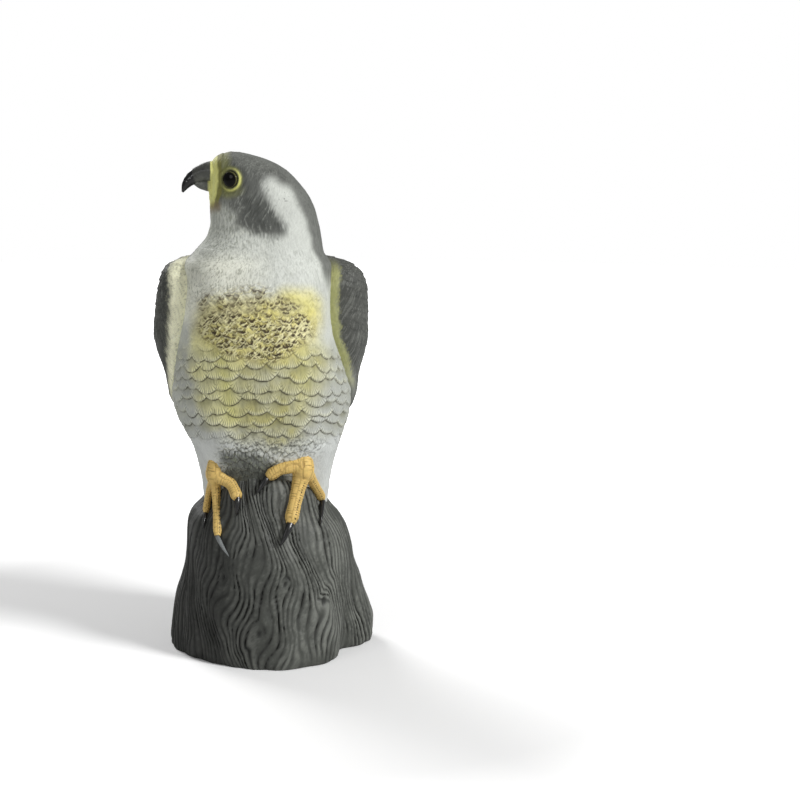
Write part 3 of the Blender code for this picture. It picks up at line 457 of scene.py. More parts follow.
def bird_form() -> Form:
    """Body and head from the tenon in the stump up to the crown."""
    rows = []
    for height, *reach in BODY_LEVELS:
        sizes = np.repeat(BODY_SIZE, 2) / 100
        rows.append((SEAT + height / 100 * BIRD, *(reach * sizes), 0.0, 2.25, 0.0, 0.0, 0.0))
    for height, left, right, front, back, middle, turn, taper in HEAD_LEVELS:
        wide, deep = np.array(HEAD_SIZE) / 100
        reach = (left * wide, right * wide, front * deep, back * deep, middle * wide)
        rows.append((SEAT + height / 100 * BIRD, *reach, 2.2, math.radians(turn), taper, 0.0))
    return Form(np.array(rows))


def stump_form() -> Form:
    """Stump from the ground to the crest hidden in the bird. Its sections grow squarer upwards."""
    rows = []
    for height, *reach, hollow in STUMP_LEVELS:
        up = min(height / 100, 1.0)
        sizes = np.repeat(STUMP_SIZE, 2) / 100
        turn = math.radians(7.0) * (1 - up)
        rows.append((height / 100 * SEAT, *(reach * sizes), 0.0, 1.7 + 0.6 * up, turn, 0.0, hollow / 100))
    return Form(np.array(rows))


SKIN = bird_form()
STUMP = stump_form()
TAIL = np.array(TAIL_LEVELS) / 100 * np.array((SEAT, TAIL_SIZE[0] / 2, TAIL_SIZE[1], TAIL_SIZE[1]))
HEAD_TURN = float(SKIN.levels[-1, TURN])


def tail_reach(heights: Array, angles: Array) -> Array:
    """Distance from the axis to the tail's roof: two slopes from the ridge to the eaves, cut at its width."""
    wide, ridge, eaves = (np.interp(heights, TAIL[:, 0], TAIL[:, i]) for i in (1, 2, 3))
    across = np.maximum(np.abs(np.cos(angles)), 1e-6)
    roof = ridge / np.maximum(np.sin(angles) + across * (ridge - eaves) / wide, 1e-6)
    return np.minimum(roof, wide / across)


def front_face(x: float, height: float) -> float:
    """Y of the foremost surface at a place on the front, on the bird or on the stump, before leaning."""
    places = []
    for form in (SKIN, STUMP):
        row = form.rows(np.array([height]))
        a, b = Form.axes(row, np.array([[x]]), np.array([[-1.0]]))
        inside = max(0.0, 1 - abs(x / a[0, 0]) ** row[0, POWER])
        places.append(-b[0, 0] * inside ** (1 / row[0, POWER]))
    return places[0] if height > STUMP.levels[-2, HEIGHT] else min(places)


def outward(points: Array) -> Array:
    """Unit normals of a grid whose columns go round and join up and whose rows go up."""
    across = np.roll(points, -1, axis=1) - np.roll(points, 1, axis=1)
    along = np.gradient(points, axis=0)
    normal = np.cross(across, along)
    return normal / np.maximum(np.linalg.norm(normal, axis=-1, keepdims=True), 1e-12)


def arc_length(points: Array) -> Array:
    """Length along each row from its first column."""
    steps = np.linalg.norm(np.diff(points, axis=1), axis=-1)
    return np.concatenate([np.zeros((len(points), 1)), np.cumsum(steps, axis=1)], axis=1)


@dataclass(frozen=True)
class Shingles:
    """Rows of overlapping feather tips. Lengths are in columns across and rows up."""

    seed: int
    bow: float = 0.75
    power: float = 2.4
    jitter: float = 0.16
    half: float = 0.64
    lip: float = 0.10
    fall: float = 1.35
    line: float = 0.16

    def at(self, across: Array, up: Array) -> dict[str, Array]:
        """Finds the feather that shows at each point: of the tips below it, the nearest.

        Args:
            across: place along the rows, in feather widths.
            up: place over the rows, in row steps.

        Returns:
            rise: height of the surface from 0 to 1, highest at a tip.
            under: 1 just below a tip that hangs over the point, fading to 0.
            tip: 1 at the feather's own edge, fading upwards.
            fan: angle of the barb through the point, from the feather's root.
            side: place across the feather, from -1 to 1.
            above: place up the feather from its tip, in row steps.
            shade: a value of the feather's own, from -1 to 1.
        """
        draws = 2 * np.random.default_rng(self.seed).random((64, 64, 4)) - 1
        best = np.full(np.shape(up), -1e6)
        second, place, shade = best.copy(), 0 * best, 0 * best
        hang = -best
        for below in (1, 0, -1, -2):
            row = np.floor(up) + below
            offset = 0.5 * np.mod(row, 2)
            edge, at, own_shade = np.full(np.shape(up), 1e6), 0 * best, 0 * best
            for beside in (-1, 0, 1):
                column = np.round(across - offset) + beside
                own = draws[row.astype(int) % 64, column.astype(int) % 64]
                wide = self.half * (1 + 0.12 * own[..., 1])
                s = (across - column - offset - 0.6 * self.jitter * own[..., 0]) / wide
                low = row + self.bow * np.abs(s) ** self.power + self.jitter * own[..., 2]
                nearer = low < edge
                edge = np.where(nearer, low, edge)
                at = np.where(nearer, s, at)
                own_shade = np.where(nearer, own[..., 3], own_shade)
            covers = edge <= up
            wins = covers & (edge > best)
            second = np.where(wins, best, np.where(covers, np.maximum(second, edge), second))
            best = np.where(wins, edge, best)
            place = np.where(wins, at, place)
            shade = np.where(wins, own_shade, shade)
            hang = np.where(covers, hang, np.minimum(hang, edge))
        t = np.minimum(up - best, 3.0)
        top = np.clip(1 - t / self.fall, 0.0, 1.0)
        low = np.clip(1 - (up - second) / self.fall, 0.0, 1.0)
        rise = low + (top - low) * ease(0.0, self.lip, t)
        return {
            "rise": rise,
            "under": 1 - ease(0.02, self.line, hang - up),
            "tip": 1 - ease(0.0, 1.2, t),
            "fan": np.arctan2(place * self.half * 1.5, 1.75 - np.minimum(t, 1.5)),
            "side": place,
            "above": t,
            "shade": shade,
        }


def stroke(x: Array, z: Array, *names: str) -> Array:
    """One airbrushed stroke in front view, or several together.

    Args:
        x, z: places across and heights, in millimetres.
        names: the strokes' names in the table.

    Returns:
        1 inside a stroke, 0 outside them all.
    """
    out = np.zeros(np.shape(x))
    for soft, path in (STROKES[name] for name in names):
        near = np.full(np.shape(x), 1e3)
        for (x0, z0, r0), (x1, z1, r1) in zip(path, path[1:]):
            dx, dz = x1 - x0, z1 - z0
            t = np.clip(((x - x0) * dx + (z - z0) * dz) / (dx**2 + dz**2), 0.0, 1.0)
            gap = np.hypot(x - x0 - t * dx, z - z0 - t * dz) - (r0 + t * (r1 - r0))
            near = np.minimum(near, gap)
        out = np.maximum(out, 1 - ease(-soft, soft, near))
    return out


@dataclass(frozen=True)
class PaintedPlastic:
    """Matte moulded plastic under airbrushed paint.

    The paint is the piece's own colour attribute. Nodes vary it in cloudy patches and fine grain, paint shade
    into the furrows, paint highlights on the raised edges, make those less rough and press in streaks and
    grain.
    """

    name: str
    roughness: float = 0.62
    streak: tuple[float, float] = (0.9 * MM, 7 * MM)
    streak_depth: float = 0.16 * MM
    grain: float = 0.7 * MM
    grain_depth: float = 0.05 * MM
    cloud: float = 0.10
    furrow_shade: float = 0.55
    barbs: float = 0.0
    barb_count: float = 58.0
    specular: float = 0.35

    def build(self) -> Material:
        """Makes the material's nodes."""
        tree = NodeSheet(self.name)
        rub_and_highlight = tree.attribute("rub_and_highlight", "Fac")
        place = tree.add("ShaderNodeTexCoord").outputs
        cloudy = tree.noise(place["Object"], 1 / (14 * MM), 3.0)
        stretch = (1 / self.streak[0], 1 / self.streak[1], 1.0)
        streaks = tree.noise(tree.scaled(place["UV"], stretch), 1.0, 2.0)
        level = tree.product(
            tree.ranged(cloudy, 0.25, 0.75, 1 - self.cloud, 1 + self.cloud),
            tree.ranged(tree.noise(place["Object"], 1 / (1.6 * MM), 2.0), 0.3, 0.7, 0.955, 1.045),
            tree.ranged(streaks, 0.3, 0.7, 0.93, 1.06),
            # Painted shade in the furrows, painted highlight on the raised edges
            tree.ranged(tree.attribute("furrow_shade", "Fac"), 0.0, 1.0, 1.0, 1 - self.furrow_shade),
            tree.ranged(rub_and_highlight, 0.0, 1.0, 1.0, 1.22),
        )
        height = None
        if self.barbs > 0:
            wave = tree.maths("SINE", tree.maths("MULTIPLY", tree.attribute("fan", "Fac"), self.barb_count))
            comb = tree.maths("MULTIPLY", wave, tree.attribute("tip", "Fac"))
            level = tree.maths("MULTIPLY", level, tree.ranged(comb, 0.15, 0.75, 1.0, 1 - self.barbs))
            height = tree.bump(comb, 0.05 * MM, None)
        height = tree.bump(streaks, self.streak_depth, height)
        height = tree.bump(tree.noise(place["Object"], 1 / self.grain, 3.0), self.grain_depth, height)
        rough = tree.maths("ADD", tree.ranged(cloudy, 0.3, 0.7, -0.06, 0.06), self.roughness)
        return tree.finished({
            "Base Color": tree.tinted(tree.attribute("paint", "Color"), level),
            "Roughness": tree.maths("SUBTRACT", rough, tree.ranged(rub_and_highlight, 0.0, 1.0, 0.0, 0.08)),
            "Normal": height,
            "Specular IOR Level": self.specular,
        })


@dataclass(frozen=True)
class GlossPlastic:
    """Smooth glossy plastic of eyes, talons and beak: its paint, faint scratches and a clear coat."""

    name: str
    roughness: float = 0.16
    coat: float = 0.6
    scratch: tuple[float, float, float] = (1 / (0.5 * MM), 1 / (0.5 * MM), 1 / (0.5 * MM))
    depth: float = 0.004 * MM
    specular: float = 0.5

    def build(self) -> Material:
        """Makes the material's nodes."""
        tree = NodeSheet(self.name)
        place = tree.add("ShaderNodeTexCoord").outputs["Object"]
        fine = tree.noise(tree.scaled(place, self.scratch), 1.0, 3.0)
        cloudy = tree.noise(place, 1 / (6 * MM), 2.0)
        rough = tree.maths("ADD", tree.ranged(fine, 0.3, 0.7, -0.03, 0.04), self.roughness)
        matt = tree.ranged(tree.attribute("rub_and_highlight", "Fac"), 0.0, 1.0, 0.0, 0.42)
        level = tree.ranged(cloudy, 0.3, 0.7, 0.88, 1.12)
        return tree.finished({
            "Base Color": tree.tinted(tree.attribute("paint", "Color"), level),
            "Roughness": tree.maths("ADD", rough, matt),
            "Normal": tree.bump(fine, self.depth, None),
            "Coat Weight": self.coat,
            "Coat Roughness": 0.08,
            "Specular IOR Level": self.specular,
        })


class NodeSheet:
    """A new material, with short words for the nodes that the finishes share."""

    def __init__(self, name: str) -> None:
        """Starts the material."""
        self.material = bpy.data.materials.new(name)
        self.material.use_nodes = True
        self.tree = self.material.node_tree

    def finished(self, inputs: dict[str, Socket | float]) -> Material:
        """Feeds the shader's inputs and hands the material over."""
        shader = self.tree.nodes["Principled BSDF"]
        for label, value in inputs.items():
            self.feed(shader.inputs[label], value)
        return self.material

    def add(self, kind: str) -> bpy.types.Node:
        """Adds a node."""
        return self.tree.nodes.new(kind)

    def link(self, source: Socket, target: Socket) -> None:
        """Joins two sockets."""
        self.tree.links.new(source, target)

    def feed(self, target: Socket, value: Socket | float) -> None:
        """Joins a socket to another, or sets its number."""
        if isinstance(value, Socket):
            self.link(value, target)
        else:
            target.default_value = value

    def attribute(self, name: str, output: str) -> Socket:
        """Reads one of the piece's own attributes."""
        node = self.add("ShaderNodeAttribute")
        node.attribute_name = name
        return node.outputs[output]

    def scaled(self, vector: Socket, scale: tuple[float, float, float]) -> Socket:
        """Stretches coordinates."""
        node = self.add("ShaderNodeMapping")
        node.inputs["Scale"].default_value = scale
        self.link(vector, node.inputs["Vector"])
        return node.outputs["Vector"]

    def noise(self, vector: Socket, scale: float, detail: float) -> Socket:
        """Cloudy noise from 0 to 1."""
        node = self.add("ShaderNodeTexNoise")
        node.inputs["Scale"].default_value = scale
        node.inputs["Detail"].default_value = detail
        self.link(vector, node.inputs["Vector"])
        return node.outputs["Fac"]

    def maths(self, what: str, *values: Socket | float) -> Socket:
        """One step of arithmetic."""
        node = self.add("ShaderNodeMath")
        node.operation = what
        for target, value in zip(node.inputs, values):
            self.feed(target, value)
        return node.outputs[0]

    def product(self, *values: Socket) -> Socket:
        """All the values multiplied."""
        return reduce(lambda first, second: self.maths("MULTIPLY", first, second), values)

    def flat(self, colour: Array) -> Socket:
        """One colour."""
        node = self.add("ShaderNodeRGB")
        node.outputs[0].default_value = (*colour, 1.0)
        return node.outputs[0]

    def ranged(self, value: Socket, *ends: float) -> Socket:
        """Carries a value from one range into another and stops at its ends."""
        node = self.add("ShaderNodeMapRange")
        self.link(value, node.inputs["Value"])
        for label, end in zip(("From Min", "From Max", "To Min", "To Max"), ends):
            node.inputs[label].default_value = end
        return node.outputs["Result"]

    def tinted(self, colour: Socket, level: Socket) -> Socket:
        """Multiplies a colour by a level."""
        node = self.add("ShaderNodeVectorMath")
        node.operation = "SCALE"
        self.link(colour, node.inputs[0])
        self.link(level, node.inputs["Scale"])
        return node.outputs[0]

    def bump(self, height: Socket, depth: float, under: Socket | None) -> Socket:
        """Presses a height into the surface, on top of an earlier bump."""
        node = self.add("ShaderNodeBump")
        node.inputs["Distance"].default_value = depth
        node.inputs["Strength"].default_value = 1.0
        self.link(height, node.inputs["Height"])
        if under is not None:
            self.link(under, node.inputs["Normal"])
        return node.outputs["Normal"]


def store(mesh: Mesh, name: str, values: Array) -> None:
    """Keeps a value or a colour at each point of a mesh."""
    kind, key = "FLOAT", "value"
    if values.ndim == 2:
        kind, key = "FLOAT_COLOR", "color"
        values = np.concatenate([np.clip(values, 0.0, 1.0), np.ones((len(values), 1))], axis=1)
    mesh.attributes.new(name, kind, "POINT").data.foreach_set(key, values.astype(np.float32).ravel())


@dataclass
class Sheet:
    """A grid of points with what is painted on it. Every array has one value for each point."""

    points: Array
    paint: Array
    furrow_shade: Array | float = 0.0
    rub_and_highlight: Array | float = 0.0
    fan: Array | float = 0.0
    tip: Array | float = 0.0

    def turned(self) -> Sheet:
        """The same grid with its columns in the other order."""
        return Sheet(*(getattr(self, field.name)[:, ::-1] for field in fields(self)))

    def place(self, name: str, finish: PaintedPlastic | GlossPlastic, node: str) -> Object:
        """Makes the finished piece that stands for a node."""
        return placed(name, self.mesh(name), finish.build(), node)

    def mesh(self, name: str) -> Mesh:
        """A closed mesh: the columns join up, and a point in the middle closes the first and last rows.

        Args:
            name: the mesh's name.

        Returns:
            The mesh, with its paint, masks and a UV map in metres along and up the surface.
        """
        n, m = self.points.shape[:2]
        flat = self.points.reshape(-1, 3)
        poles = np.stack([self.points[0].mean(axis=0), self.points[-1].mean(axis=0)])
        column = np.arange(m)
        after = (column + 1) % m
        low = (np.arange(n - 1) * m)[:, None]
        quads = np.stack([low + column, low + after, low + m + after, low + m + column], axis=-1)
        quads = quads.reshape(-1, 4)
        bottom = np.stack([np.full(m, n * m), after, column], axis=-1)
        top = np.stack([np.full(m, n * m + 1), (n - 1) * m + column, (n - 1) * m + after], axis=-1)
        corners = np.concatenate([quads.ravel(), bottom.ravel(), top.ravel()])
        sizes = np.concatenate([np.full(len(quads), 4), np.full(2 * m, 3)])
        mesh = bpy.data.meshes.new(name)
        mesh.vertices.add(n * m + 2)
        mesh.vertices.foreach_set("co", np.concatenate([flat, poles]).astype(np.float32).ravel())
        mesh.loops.add(len(corners))
        mesh.loops.foreach_set("vertex_index", corners.astype(np.int32))
        mesh.polygons.add(len(sizes))
        mesh.polygons.foreach_set("loop_start", (np.cumsum(sizes) - sizes).astype(np.int32))
        mesh.update(calc_edges=True)
        self.colour(mesh)
        self.unwrap(mesh, len(quads), corners)
        mesh.shade_smooth()
        mesh.set_sharp_from_angle(angle=math.radians(68))
        return mesh

    def colour(self, mesh: Mesh) -> None:
        """Stores the paint and the masks."""
        shape = self.points.shape[:2]
        paint = np.broadcast_to(self.paint, (*shape, 3)).reshape(-1, 3)
        store(mesh, "paint", np.concatenate([paint, paint[:1], paint[-1:]]))
        for name in ("furrow_shade", "rub_and_highlight", "fan", "tip"):
            values = np.broadcast_to(getattr(self, name), shape).ravel()
            store(mesh, name, np.concatenate([values, values[:1], values[-1:]]))

    def unwrap(self, mesh: Mesh, quads: int, corners: Array) -> None:
        """Lays the UV map: distance round and height, with the seam's far side carried on past the end."""
        n, m = self.points.shape[:2]
        uv = np.stack([arc_length(self.points), self.points[..., 2]], axis=-1)
        step = uv[:, -1:] + (uv[:, -1:] - uv[:, -2:-1])
        wide = np.concatenate([uv, step], axis=1)
        column = np.arange(m)
        low = (np.arange(n - 1) * (m + 1))[:, None]
        ring = np.stack([low + column, low + column + 1, low + m + 2 + column, low + m + 1 + column], axis=-1)
        out = np.zeros((len(corners), 2))
        out[: 4 * quads] = wide.reshape(-1, 2)[ring.ravel()]
        out[4 * quads :] = np.concatenate([uv.reshape(-1, 2), uv[:1, 0], uv[-1:, 0]])[corners[4 * quads :]]
        mesh.uv_layers.new(name="surface").data.foreach_set("uv", out.astype(np.float32).ravel())


def linked(name: str, data: bpy.types.ID) -> Object:
    """Adds an object to the scene."""
    made = bpy.data.objects.new(name, data)
    bpy.context.scene.collection.objects.link(made)
    return made


def placed(name: str, mesh: Mesh, material: Material, node: str) -> Object:
    """Links a finished piece, rides it on the decoy and lets it stand for its node."""
    piece = linked(name, mesh)
    mesh.materials.append(material)
    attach(piece, BODY)
    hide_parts(node)
    LOG.info("%s: %d points", name, len(mesh.vertices))
    return piece


def seen(points: Array) -> tuple[Array, Array]:
    """X and apparent height in millimetres, as a stencil held a little above the front shows them."""
    x, y, z = np.moveaxis(points, -1, 0) / MM
    return x, z + (y + STENCIL_PLANE) * math.tan(STENCIL_TILT)


def circle(count: int) -> Array:
    """Evenly spaced angles round a whole turn."""
    return np.linspace(0.0, math.tau, count, endpoint=False)


def spread_angles(*runs: tuple[float, float, int]) -> Array:
    """Angles in evenly divided runs, each given by its start, end and count."""
    return np.concatenate([np.linspace(low, high, count, endpoint=False) for low, high, count in runs])


GRAIN = Grain(7)
FINE = Grain(23)


def mottle(points: Array, size: float, count: int, grain: Grain = GRAIN) -> Array:
    """Cloudy noise over a surface: layers of patches, the largest of this size."""
    return grain.layers(*(np.moveaxis(points, -1, 0) / size), count)


def hair(points: Array, fine: float, long: float, lean: float = 0.0) -> Array:
    """Fine hanging streaks from -1 to 1: noise drawn out downwards.

    Args:
        points: places on the bird.
        fine: width of a streak.
        long: its length.
        lean: how far it drifts sideways for each unit down.

    Returns:
        The streaks' strength at each point.
    """
    x, y, z = np.moveaxis(points, -1, 0)
    wander = 1.5 * MM * GRAIN.at(x / (9 * MM), y / (9 * MM), z / (9 * MM))
    across = x + lean * z + wander
    return FINE.layers(across / fine, y / fine, z / long, 2) / 1.2


class Coat:
    """Paint that is laid on in strokes, one over another."""

    def __init__(self, points: Array, base: Colour) -> None:
        """Starts with the base colour everywhere."""
        self.paint = np.broadcast_to(shown(*base), (*points.shape[:-1], 3)).copy()

    def add(self, colour: Colour, share: Array) -> None:
        """Lays a colour over the paint, by a share at each point."""
        self.paint = blend(self.paint, shown(*colour), np.clip(share, 0.0, 1.0))

    def shade(self, level: Array) -> None:
        """Multiplies the paint."""
        self.paint = self.paint * np.asarray(level)[..., None]


@dataclass
class Ground:
    """A surface to carve and paint, with the noise that breaks up its edges.

    x and v are places in front view, in millimetres. The streaks hang down, the lumps and patches are cloudy
    and the specks are fine.
    """

    points: Array
    normal: Array
    x: Array
    v: Array
    streak: Array
    lumps: Array
    patch: Array
    speck: Array

    @classmethod
    def of(cls, points: Array, patch: float, speck: float) -> Ground:
        """Takes in a surface, with patches and specks of these sizes."""
        streak = hair(points, 0.85 * MM, 7.5 * MM, 0.16)
        noise = mottle(points, 5 * MM, 2), mottle(points, patch, 3), mottle(points, speck, 2, FINE)
        return cls(points, outward(points), *seen(points), streak, *noise)

    def down(self) -> Array:
        """Relief of the breast's hanging streaks and soft lumps, which run on unbroken into the neck."""
        return 0.20 * MM * self.streak + 0.14 * MM * self.lumps

    def ragged(self) -> Array:
        """How far the noise carries a painted edge aside, in millimetres."""
        return 1.7 * self.streak + 1.2 * self.patch

    def behind(self) -> Array:
        """Where the plain charcoal lies: behind the flanks, higher up behind the head's middle."""
        x, y, z = np.moveaxis(self.points, -1, 0)
        side = y - (x + 22 * MM) * math.tan(HEAD_TURN) + LEAN * (z - SEAT) / BIRD
        side = side + 3.5 * MM * GRAIN.layers(x / (7 * MM), y / (7 * MM), z / (14 * MM), 3)
        low, high = ease(-0.05, 0.35, self.normal[..., 1]), ease(-4 * MM, 9 * MM, side)
        return low + (high - low) * ease(0.298, 0.322, z)

    def bib(self) -> Coat:
        """The pale paint of neck and breast: greyer and more streaked towards the beak's side."""
        x, v, streak = self.x, self.v, self.streak
        coat = Coat(self.points, WHITE)
        west = ease(14, -34, x + 5 * mottle(self.points, 11 * MM, 3))
        slim = hair(self.points, 0.6 * MM, 10 * MM, 0.22)
        coat.add(THROAT, 0.12 * west * ease(262, 320, v) + 0.12 * west * ease(325, 345, v))
        # Painted light on the upper breast on the beak's side
        coat.add((247, 247, 230), 0.75 * west * ease(264, 280, v) * ease(330, 312, v))
        coat.add((228, 231, 218), 0.65 * west * ease(0.0, 0.45, slim))
        coat.add((118, 123, 104), 0.60 * ease(0.1, 0.5, -slim) * (0.35 + 0.65 * west) * ease(270, 296, v))
        coat.add((160, 164, 156), 0.30 * ease(0.1, 0.6, -streak) * (1 - west) * ease(285, 300, v))
        # Painted shade along the outer edge of the upper breast on the beak's side, next to the wing
        coat.add((130, 134, 124), 0.3 * ease(-46, -60, x + 0.35 * (300 - v)) * ease(292, 305, v))
        return coat

    def paint_nape(self, coat: Coat, share: Array | float = 1.0) -> None:
        """Paints the grey band that runs down the nape to the shoulder, by the share that shows."""
        edge = np.interp(self.v, NAPE_EDGE[0], NAPE_EDGE[1])
        nape = ease(-2.5, 3.0, self.x + 0.8 * self.streak - edge) * share
        coat.add(NAPE, 0.95 * nape)
        coat.add(NAPE_SHADE, 0.35 * ease(0.0, 0.5, -self.streak) * nape)


@dataclass
class Plumage(Ground):
    """The torso's surface with its feathers, and how far each kind shows at each point."""

    forward: Array
    belly: dict[str, Array]
    chest: dict[str, Array]
    behind_wings: dict[str, Array]
    scales: Array
    ruff: Array
    curls: Array
    mantle: Array


@dataclass
class Torso:
    """Breast, belly, thighs and the mantle between the wings, with the neck's collar left inside the hood."""

    finish: PaintedPlastic
    edge: float = math.radians(107)
    columns: tuple[int, int, int] = (46, 34, 178)
    rows: tuple[tuple[float, float, int], ...] = (
        (SKIN.levels[0, HEIGHT], 126 * MM, 9),
        (126 * MM, 178 * MM, 60),
        (178 * MM, 246 * MM, 88),
        (246 * MM, 302 * MM, 100),
        (302 * MM, NECK, 30),
    )
    scallop: tuple[float, float] = (14.2 * MM, 8.6 * MM)
    breast: tuple[float, float] = (5.8 * MM, 4.2 * MM)
    mantle: tuple[float, float] = (12.5 * MM, 8.4 * MM)
    scallop_depth: float = 1.5 * MM
    breast_depth: float = 0.85 * MM
    curl_depth: float = 0.8 * MM
    stroke_depth: float = 0.22 * MM
    mantle_depth: float = 1.5 * MM
    thigh: float = 4.5 * MM
    flank: float = math.radians(26)
    collar: tuple[float, float] = (7 * MM, 3.2 * MM)

    def thighs(self, rows: Array, angles: Array) -> Array:
        """Two soft swellings over the feet: bells across and up, fading out at the sides."""
        r = Form.reach(rows, angles)
        x, front = r * np.cos(angles), ease(0.0, -0.4, np.sin(angles))
        rise = bell(rows[:, HEIGHT, None], SEAT + 48 * MM, 24 * MM)
        return self.thigh * rise * (bell(x, 36 * MM, 17 * MM) + bell(x, -39 * MM, 17 * MM)) * front

    def build(self) -> Object:
        """Makes the shell and its paint."""
        parts = [SKIN.spread(low, high, count + 1)[:-1] for low, high, count in self.rows]
        rows = np.concatenate([*parts, SKIN.rows(np.array([NECK]))])
        back, flank, front = self.columns
        rim = self.edge + self.flank
        turn = spread_angles(
            (0.0, self.edge, back),
            (self.edge, rim, flank),
            (rim, math.tau - rim, front),
            (math.tau - rim, math.tau - self.edge, flank),
            (math.tau - self.edge, math.tau, back),
        )
        angles = math.pi / 2 + turn
        p = self.feathered(Form.skin(rows, angles, self.thighs(rows, angles)))
        belly, behind, scales, mantle = p.belly, p.behind_wings, p.scales, p.mantle
        # Painted shade just under the hanging feather tips
        line = belly["under"] * scales * ease(0.75, 0.35, np.abs(belly["side"])) + behind["under"] * mantle
        sheet = Sheet(
            points=self.with_collar(p.points + p.normal * self.relief(p)[..., None], angles),
            paint=self.tucked(self.coat(p).paint),
            furrow_shade=self.tucked(np.clip(0.5 * line + 0.3 * p.chest["under"] * p.ruff, 0.0, 1.0)),
            # Painted highlight on the tips of the mantle's feathers
            rub_and_highlight=self.tucked(0.35 * behind["tip"] * mantle),
            fan=self.tucked(np.where(p.forward > 0.5, belly["fan"], behind["fan"])),
            tip=self.tucked(np.clip(belly["tip"] * scales + 0.6 * behind["tip"] * mantle, 0.0, 1.0)),
        )
        return sheet.place("breast_and_mantle", self.finish, "body_shell")

    def feathered(self, points: Array) -> Plumage:
        """Lays scallops on the belly, ruffled feathers on the breast and scale feathers on the mantle."""
        ground = Ground.of(points, 11 * MM, 1.3 * MM)
        x, v = ground.x, ground.v
        round_it = arc_length(points)
        back, flank, front = self.columns
        middle = round_it[:, [back + flank + front // 2]]
        from_back = np.where(round_it < middle, round_it, round_it - 2 * middle)
        forward = ease(0.15, -0.25, ground.normal[..., 1])
        across = round_it - middle
        high = v * MM + 2.5 * MM * GRAIN.at(x / 24, v / 30, 1.5)
        rough = [1.1 * MM * FINE.layers(x / 3.1 + shift, v / 2.6, 0.5, 2) for shift in (0.0, 9.5)]
        bowed = v + 0.05 * np.abs(x) + 3 * GRAIN.at(x / 9, v / 9, 0.5)
        scales = forward * ease(168, 182, v) * ease(256, 244, bowed)
        plain = Shingles(3, bow=0.56, jitter=0.28, line=0.15)
        lipped = Shingles(11, bow=0.80, jitter=0.40, lip=0.2, line=0.36)
        level = points[..., 2] / self.mantle[1] + 0.02 * np.abs(from_back) / MM
        return Plumage(
            **vars(ground),
            forward=forward,
            belly=plain.at(across / self.scallop[0], high / self.scallop[1]),
            chest=lipped.at((across + rough[0]) / self.breast[0], (high + rough[1]) / self.breast[1]),
            behind_wings=Shingles(5, bow=0.6, jitter=0.2).at(from_back / self.mantle[0] + 0.5, level),
            scales=scales,
            ruff=forward * (1 - scales) * ease(236, 246, v) * ease(302, 290, v) * ease(60, 48, np.abs(x + 8)),
            curls=ease(180, 172, v) * ease(143, 150, v) * ease(42, 30, np.abs(x + 1 + 0.25 * (170 - v))),
            mantle=(1 - forward) * ease(0.324, 0.314, points[..., 2]),
        )

    def relief(self, p: Plumage) -> Array:
        """Height of the feathers over the plain surface."""
        plain = np.clip(1 - p.scales - p.ruff - p.mantle, 0.0, 1.0)
        hung = 1 - 0.85 * ease(0.30, 0.95, np.abs(p.belly["side"]))
        relief = self.scallop_depth * (p.belly["rise"] - 0.5) * hung * p.scales
        relief = relief + self.breast_depth * (p.chest["rise"] - 0.5) * p.ruff
        relief = relief + self.stroke_depth * (self.crossed(p, -1.0) - self.crossed(p, 1.0)) * p.ruff
        relief = relief + self.curl_depth * (p.chest["rise"] - 0.5) * p.curls * p.forward
        relief = relief + self.mantle_depth * (p.behind_wings["rise"] - 0.45) * p.mantle
        return relief + p.down() * (0.3 + 0.7 * plain)

    @staticmethod
    def crossed(p: Plumage, way: float) -> Array:
        """Short slanting strokes on the breast, from 0 to 1, leaning one way or the other."""
        strokes = FINE.at((p.x + 0.9 * way * p.v) / 1.25, (0.9 * p.x - way * p.v) / 4.4, 3.1 + 2 * way)
        return ease(0.22, 0.55, strokes)

    def with_collar(self, points: Array, angles: Array) -> Array:
        """Adds two rings that turn the open edge inwards and up, under the hood."""
        height, inset = self.collar
        level = SKIN.rows(np.array([NECK, NECK + height]))
        return np.concatenate([points, Form.skin(level, angles, grow=-inset)])

    @staticmethod
    def tucked(values: Array) -> Array:
        """Carries the last row's values on over the collar."""
        return np.concatenate([values, values[-1:], values[-1:]])

    def coat(self, p: Plumage) -> Coat:
        """Paints the shell: pale all over, then belly, breast, the parts over the stump and the back."""
        coat = p.bib()
        self.paint_belly(coat, p)
        self.paint_breast(coat, p)
        self.paint_low(coat, p)
        self.paint_back(coat, p)
        coat.shade(1 + 0.06 * p.streak + 0.05 * p.patch)
        return coat

    @staticmethod
    def paint_belly(coat: Coat, p: Plumage) -> None:
        """Cream, painted shade on the flanks, then each scallop's painted shadow, rim highlight and dark
        line.
        """
        x, v, patch, belly, scales = p.x, p.v, p.patch, p.belly, p.scales
        # Painted shade on the flanks, greyer towards the sides
        coat.add(FLANK_SHADE, 0.3 * ease(36, 58, np.abs(x + 3) + 6 * patch) * ease(270, 250, v))
        cream = np.maximum(stroke(x + 3 * patch, v, "cream sides"), stroke(x, v, "cream middle"))
        coat.add(CREAM, cream * (0.86 + 0.3 * patch))
        coat.add((196, 189, 118), 0.5 * cream * ease(-0.1, 0.7, patch) * ease(248, 236, v))
        # Painted light: paler cream on the beak's side of the belly
        coat.add((250, 247, 188), 0.8 * cream * ease(-8, -34, x))
        coat.add((214, 210, 126), 0.55 * stroke(x, v, "left streak"))
        coat.add((196, 192, 100), 0.6 * stroke(x, v, "right streak"))
        coat.add((150, 148, 112), 0.55 * stroke(x, v, "belly shadow") * scales)
        # Painted shadow in the upper part of each scallop, under the row above
        coat.add((116, 114, 84), 0.52 * ease(0.85, 0.1, belly["rise"]) * scales * (1 + 0.4 * belly["shade"]))
